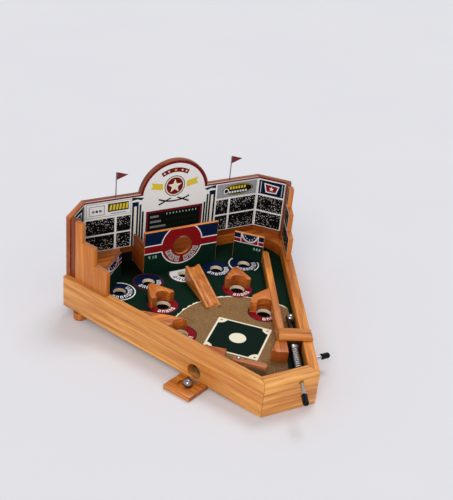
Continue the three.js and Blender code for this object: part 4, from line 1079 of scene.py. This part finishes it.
tail = -BARE - CAP_BORE + GAP
rod_run = TIP - tail
rod_profile = [(reach, rod_run - run) for reach, run in rounded(ROD, rod_run, 0.5)[::-1]]
rod_profile += rounded(ROD, rod_run, 0.7)
lathe("plunger_bar", rod_profile, plunger_start + lane_heading * tail, lane_heading,
      SHADED_ROD_STEEL, "plunger", ["plunger_rod"])
lathe("plunger_knob", cap_profile(CAP_RUN, CAP_BORE, 6), plunger_start - lane_heading * BARE,
      -lane_heading, VINYL, "plunger", ["plunger_cap"])
flange_profile = [(ROD + 0.05, 0), (FLANGE - 0.4, 0), (FLANGE, 0.4), (FLANGE, 1),
                  (FLANGE - 0.6, 1.7), (FLANGE - 2, 2.6), (ROD + 0.9, FLANGE_RUN),
                  (ROD + 0.05, FLANGE_RUN)]
lathe("plunger_washer", flange_profile, plunger_start + lane_heading * FLANGE_FRONT, lane_heading,
      CHROME, "plunger", ["plunger_flange"])
SPRING, SPRING_WIRE, SPRING_TURNS = 4.5, 0.6, 12
spring_start = FRONT_THICKNESS / COS + SPRING * TAN + GAP
spring = coil("plunger_coil", plunger_start, lane_heading, SPRING, SPRING_WIRE, spring_start,
              FLANGE_FRONT - GAP, SPRING_TURNS, "plunger_spring")
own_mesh(spring)

# The bat rod's cap and return spring.
ROD_Y, ROD_Z = 61, 18.8
CAP_REACH = 17.9
CAP_START = FRONT_HALF + ROD_Y * TAN + CAP_REACH
BAT_CAP_RUN, BAT_CAP_BORE = 13.4, 8.4
lathe("bat_rod_knob", cap_profile(BAT_CAP_RUN, BAT_CAP_BORE, 5), (CAP_START, ROD_Y, ROD_Z),
      X_AXIS, VINYL, "bat_rod", ["bat_rod_cap"])
COLLAR_END, COIL_END = -9.7, 50.04
RETURN_COIL, RETURN_WIRE, RETURN_TURNS = 3.9, 0.5, 13
return_length = COIL_END - COLLAR_END
return_coil = coil("bat_return_coil", (COLLAR_END, ROD_Y, ROD_Z), X_AXIS, RETURN_COIL, RETURN_WIRE,
                   GAP, return_length, RETURN_TURNS, "bat_return_spring")
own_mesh(return_coil)
for name in ("bat_rod", "bat_shaft"):
    soften(name, CHROME, 0)

# The bat: a small turned stick held by a domed screw, whose head sinks into the bat's top.
BAT_TURN = radians(-44)
BAT_TOP, SCREW_SEAT, SHANK = PIVOT[2] + 4.2, 0.9, 6
bat_grain = (cos(BAT_TURN), sin(BAT_TURN), 0)
BAT_WOOD = ((226, 150, 96), (178, 104, 60), (150, 84, 48))
soften("bat", wood("bat_wood", bat_grain, BAT_WOOD, roughness=0.32, coat=0.4), 0)
screw = [(1.1, 0), (1.1, SHANK - 0.1), (2.55, 6.0), (2.6, 6.2), (2.45, 6.9), (1.9, 7.5),
         (1.0, 7.75), (0.02, 7.8)]
screw_start = BAT_TOP - SCREW_SEAT + GAP - SHANK
lathe("bat_dome_screw", screw, (*PIVOT[:2], screw_start), Z_AXIS, CHROME, "bat",
      ["bat_screw"], sides=40)

# Balls, feet and pennant poles.
BALL = 6.35
TRAY_FLOOR = 2.5


def ball(name, centre, body, replaced, place=CABINET):
    profile = [(max(reach, 0.01), run) for reach, run in arc(0, 0, BALL, -90, 90, 24)]
    lathe(name, profile, centre, Z_AXIS, BALL_STEEL, body, [replaced], place, 48)


ball("lane_steel_ball", lane_point(TIP + GAP + BALL, 3.5, FIELD + GAP + BALL), "lane_ball",
     "lane_ball")
ball("tray_steel_ball", rail_point(-1, 104, -17.2, TRAY_FLOOR + GAP + BALL), "tray_ball",
     "tray_ball", TABLE)

POLE, POLE_RUN, POLE_X = 0.8, 45.4, 92
pole_profile = [(POLE, 0), (POLE, POLE_RUN - 0.5), (0.5, POLE_RUN - 0.1), (0.02, POLE_RUN)]
for side, label in ((-1, "left"), (1, "right")):
    soften(f"{label}_rear_foot", wood(f"{label}_foot_wood", Z_AXIS, OAK), 0)
    lathe(f"{label}_pole", pole_profile, (side * POLE_X, DEPTH - BOARD / 2, CREST - 7.7), Z_AXIS,
          STEEL, "root", [f"{label}_pennant_pole"], sides=20)


# Camera, floor and light. The camera was fitted to the photo's edges: its focal length is in
# pixels, and its axes point right, up and back.
IMAGE_LONG, FOCAL = 500, 924.908
CAMERA_SPOT = Vector((-551.9, -732.6, 739.3))
CAMERA_AXES = Matrix(((0.9022, -0.42657, 0.06387), (0.18051, 0.5079, 0.84229),
                      (-0.39173, -0.74839, 0.53522)))
view = bpy.data.cameras.new("camera")
view.sensor_width = 36
view.lens = FOCAL / IMAGE_LONG * view.sensor_width
view.shift_x = 0.097
view.shift_y = 0.08
view.clip_start = 0.01
camera = add_object("camera", view)
turn = Matrix.Rotation(LEAN, 3, "X") @ CAMERA_AXES.transposed()
camera.matrix_world = Matrix.Translation(CABINET @ CAMERA_SPOT) @ turn.to_4x4()
scene.camera = camera

FLOOR, FLOOR_Z = 5, -0.0004
look = Look("pale_floor", 0.85)
clouds = look.noise(look.mapped(), 3, 2)
look.link(look.mix(clouds, linear(229, 229, 235), linear(233, 233, 238)), "Base Color")
mesh = bpy.data.meshes.new("floor")
corners = [(x * FLOOR, y * FLOOR, FLOOR_Z) for x, y in ((-1, -1), (1, -1), (1, 1), (-1, 1))]
mesh.from_pydata(corners, [], [(0, 1, 2, 3)])
mesh.materials.append(look.material)
floor = add_object("floor", mesh)

world = bpy.data.worlds.new("studio")
scene.world = world
world.use_nodes = True
background = world.node_tree.nodes["Background"]
background.inputs["Color"].default_value = (0.95, 0.97, 1.0, 1)
background.inputs["Strength"].default_value = 0.52


def sun_light(name, toward, power, spread, color=(1, 1, 1)):
    """A lamp so far off that it lights the whole floor evenly."""
    data = bpy.data.lights.new(name, "SUN")
    data.energy = power
    data.angle = radians(spread)
    data.color = color
    lamp = add_object(name, data)
    lamp.rotation_euler = Vector(toward).to_track_quat("-Z", "Y").to_euler()


sun_light("key", (0.6, 0.68, -0.66), 1.15, 30, (1, 0.97, 0.93))
sun_light("top", (-0.42, -0.3, -1.0), 0.85, 24, (1, 0.99, 0.97))

scene.view_settings.view_transform = "Standard"
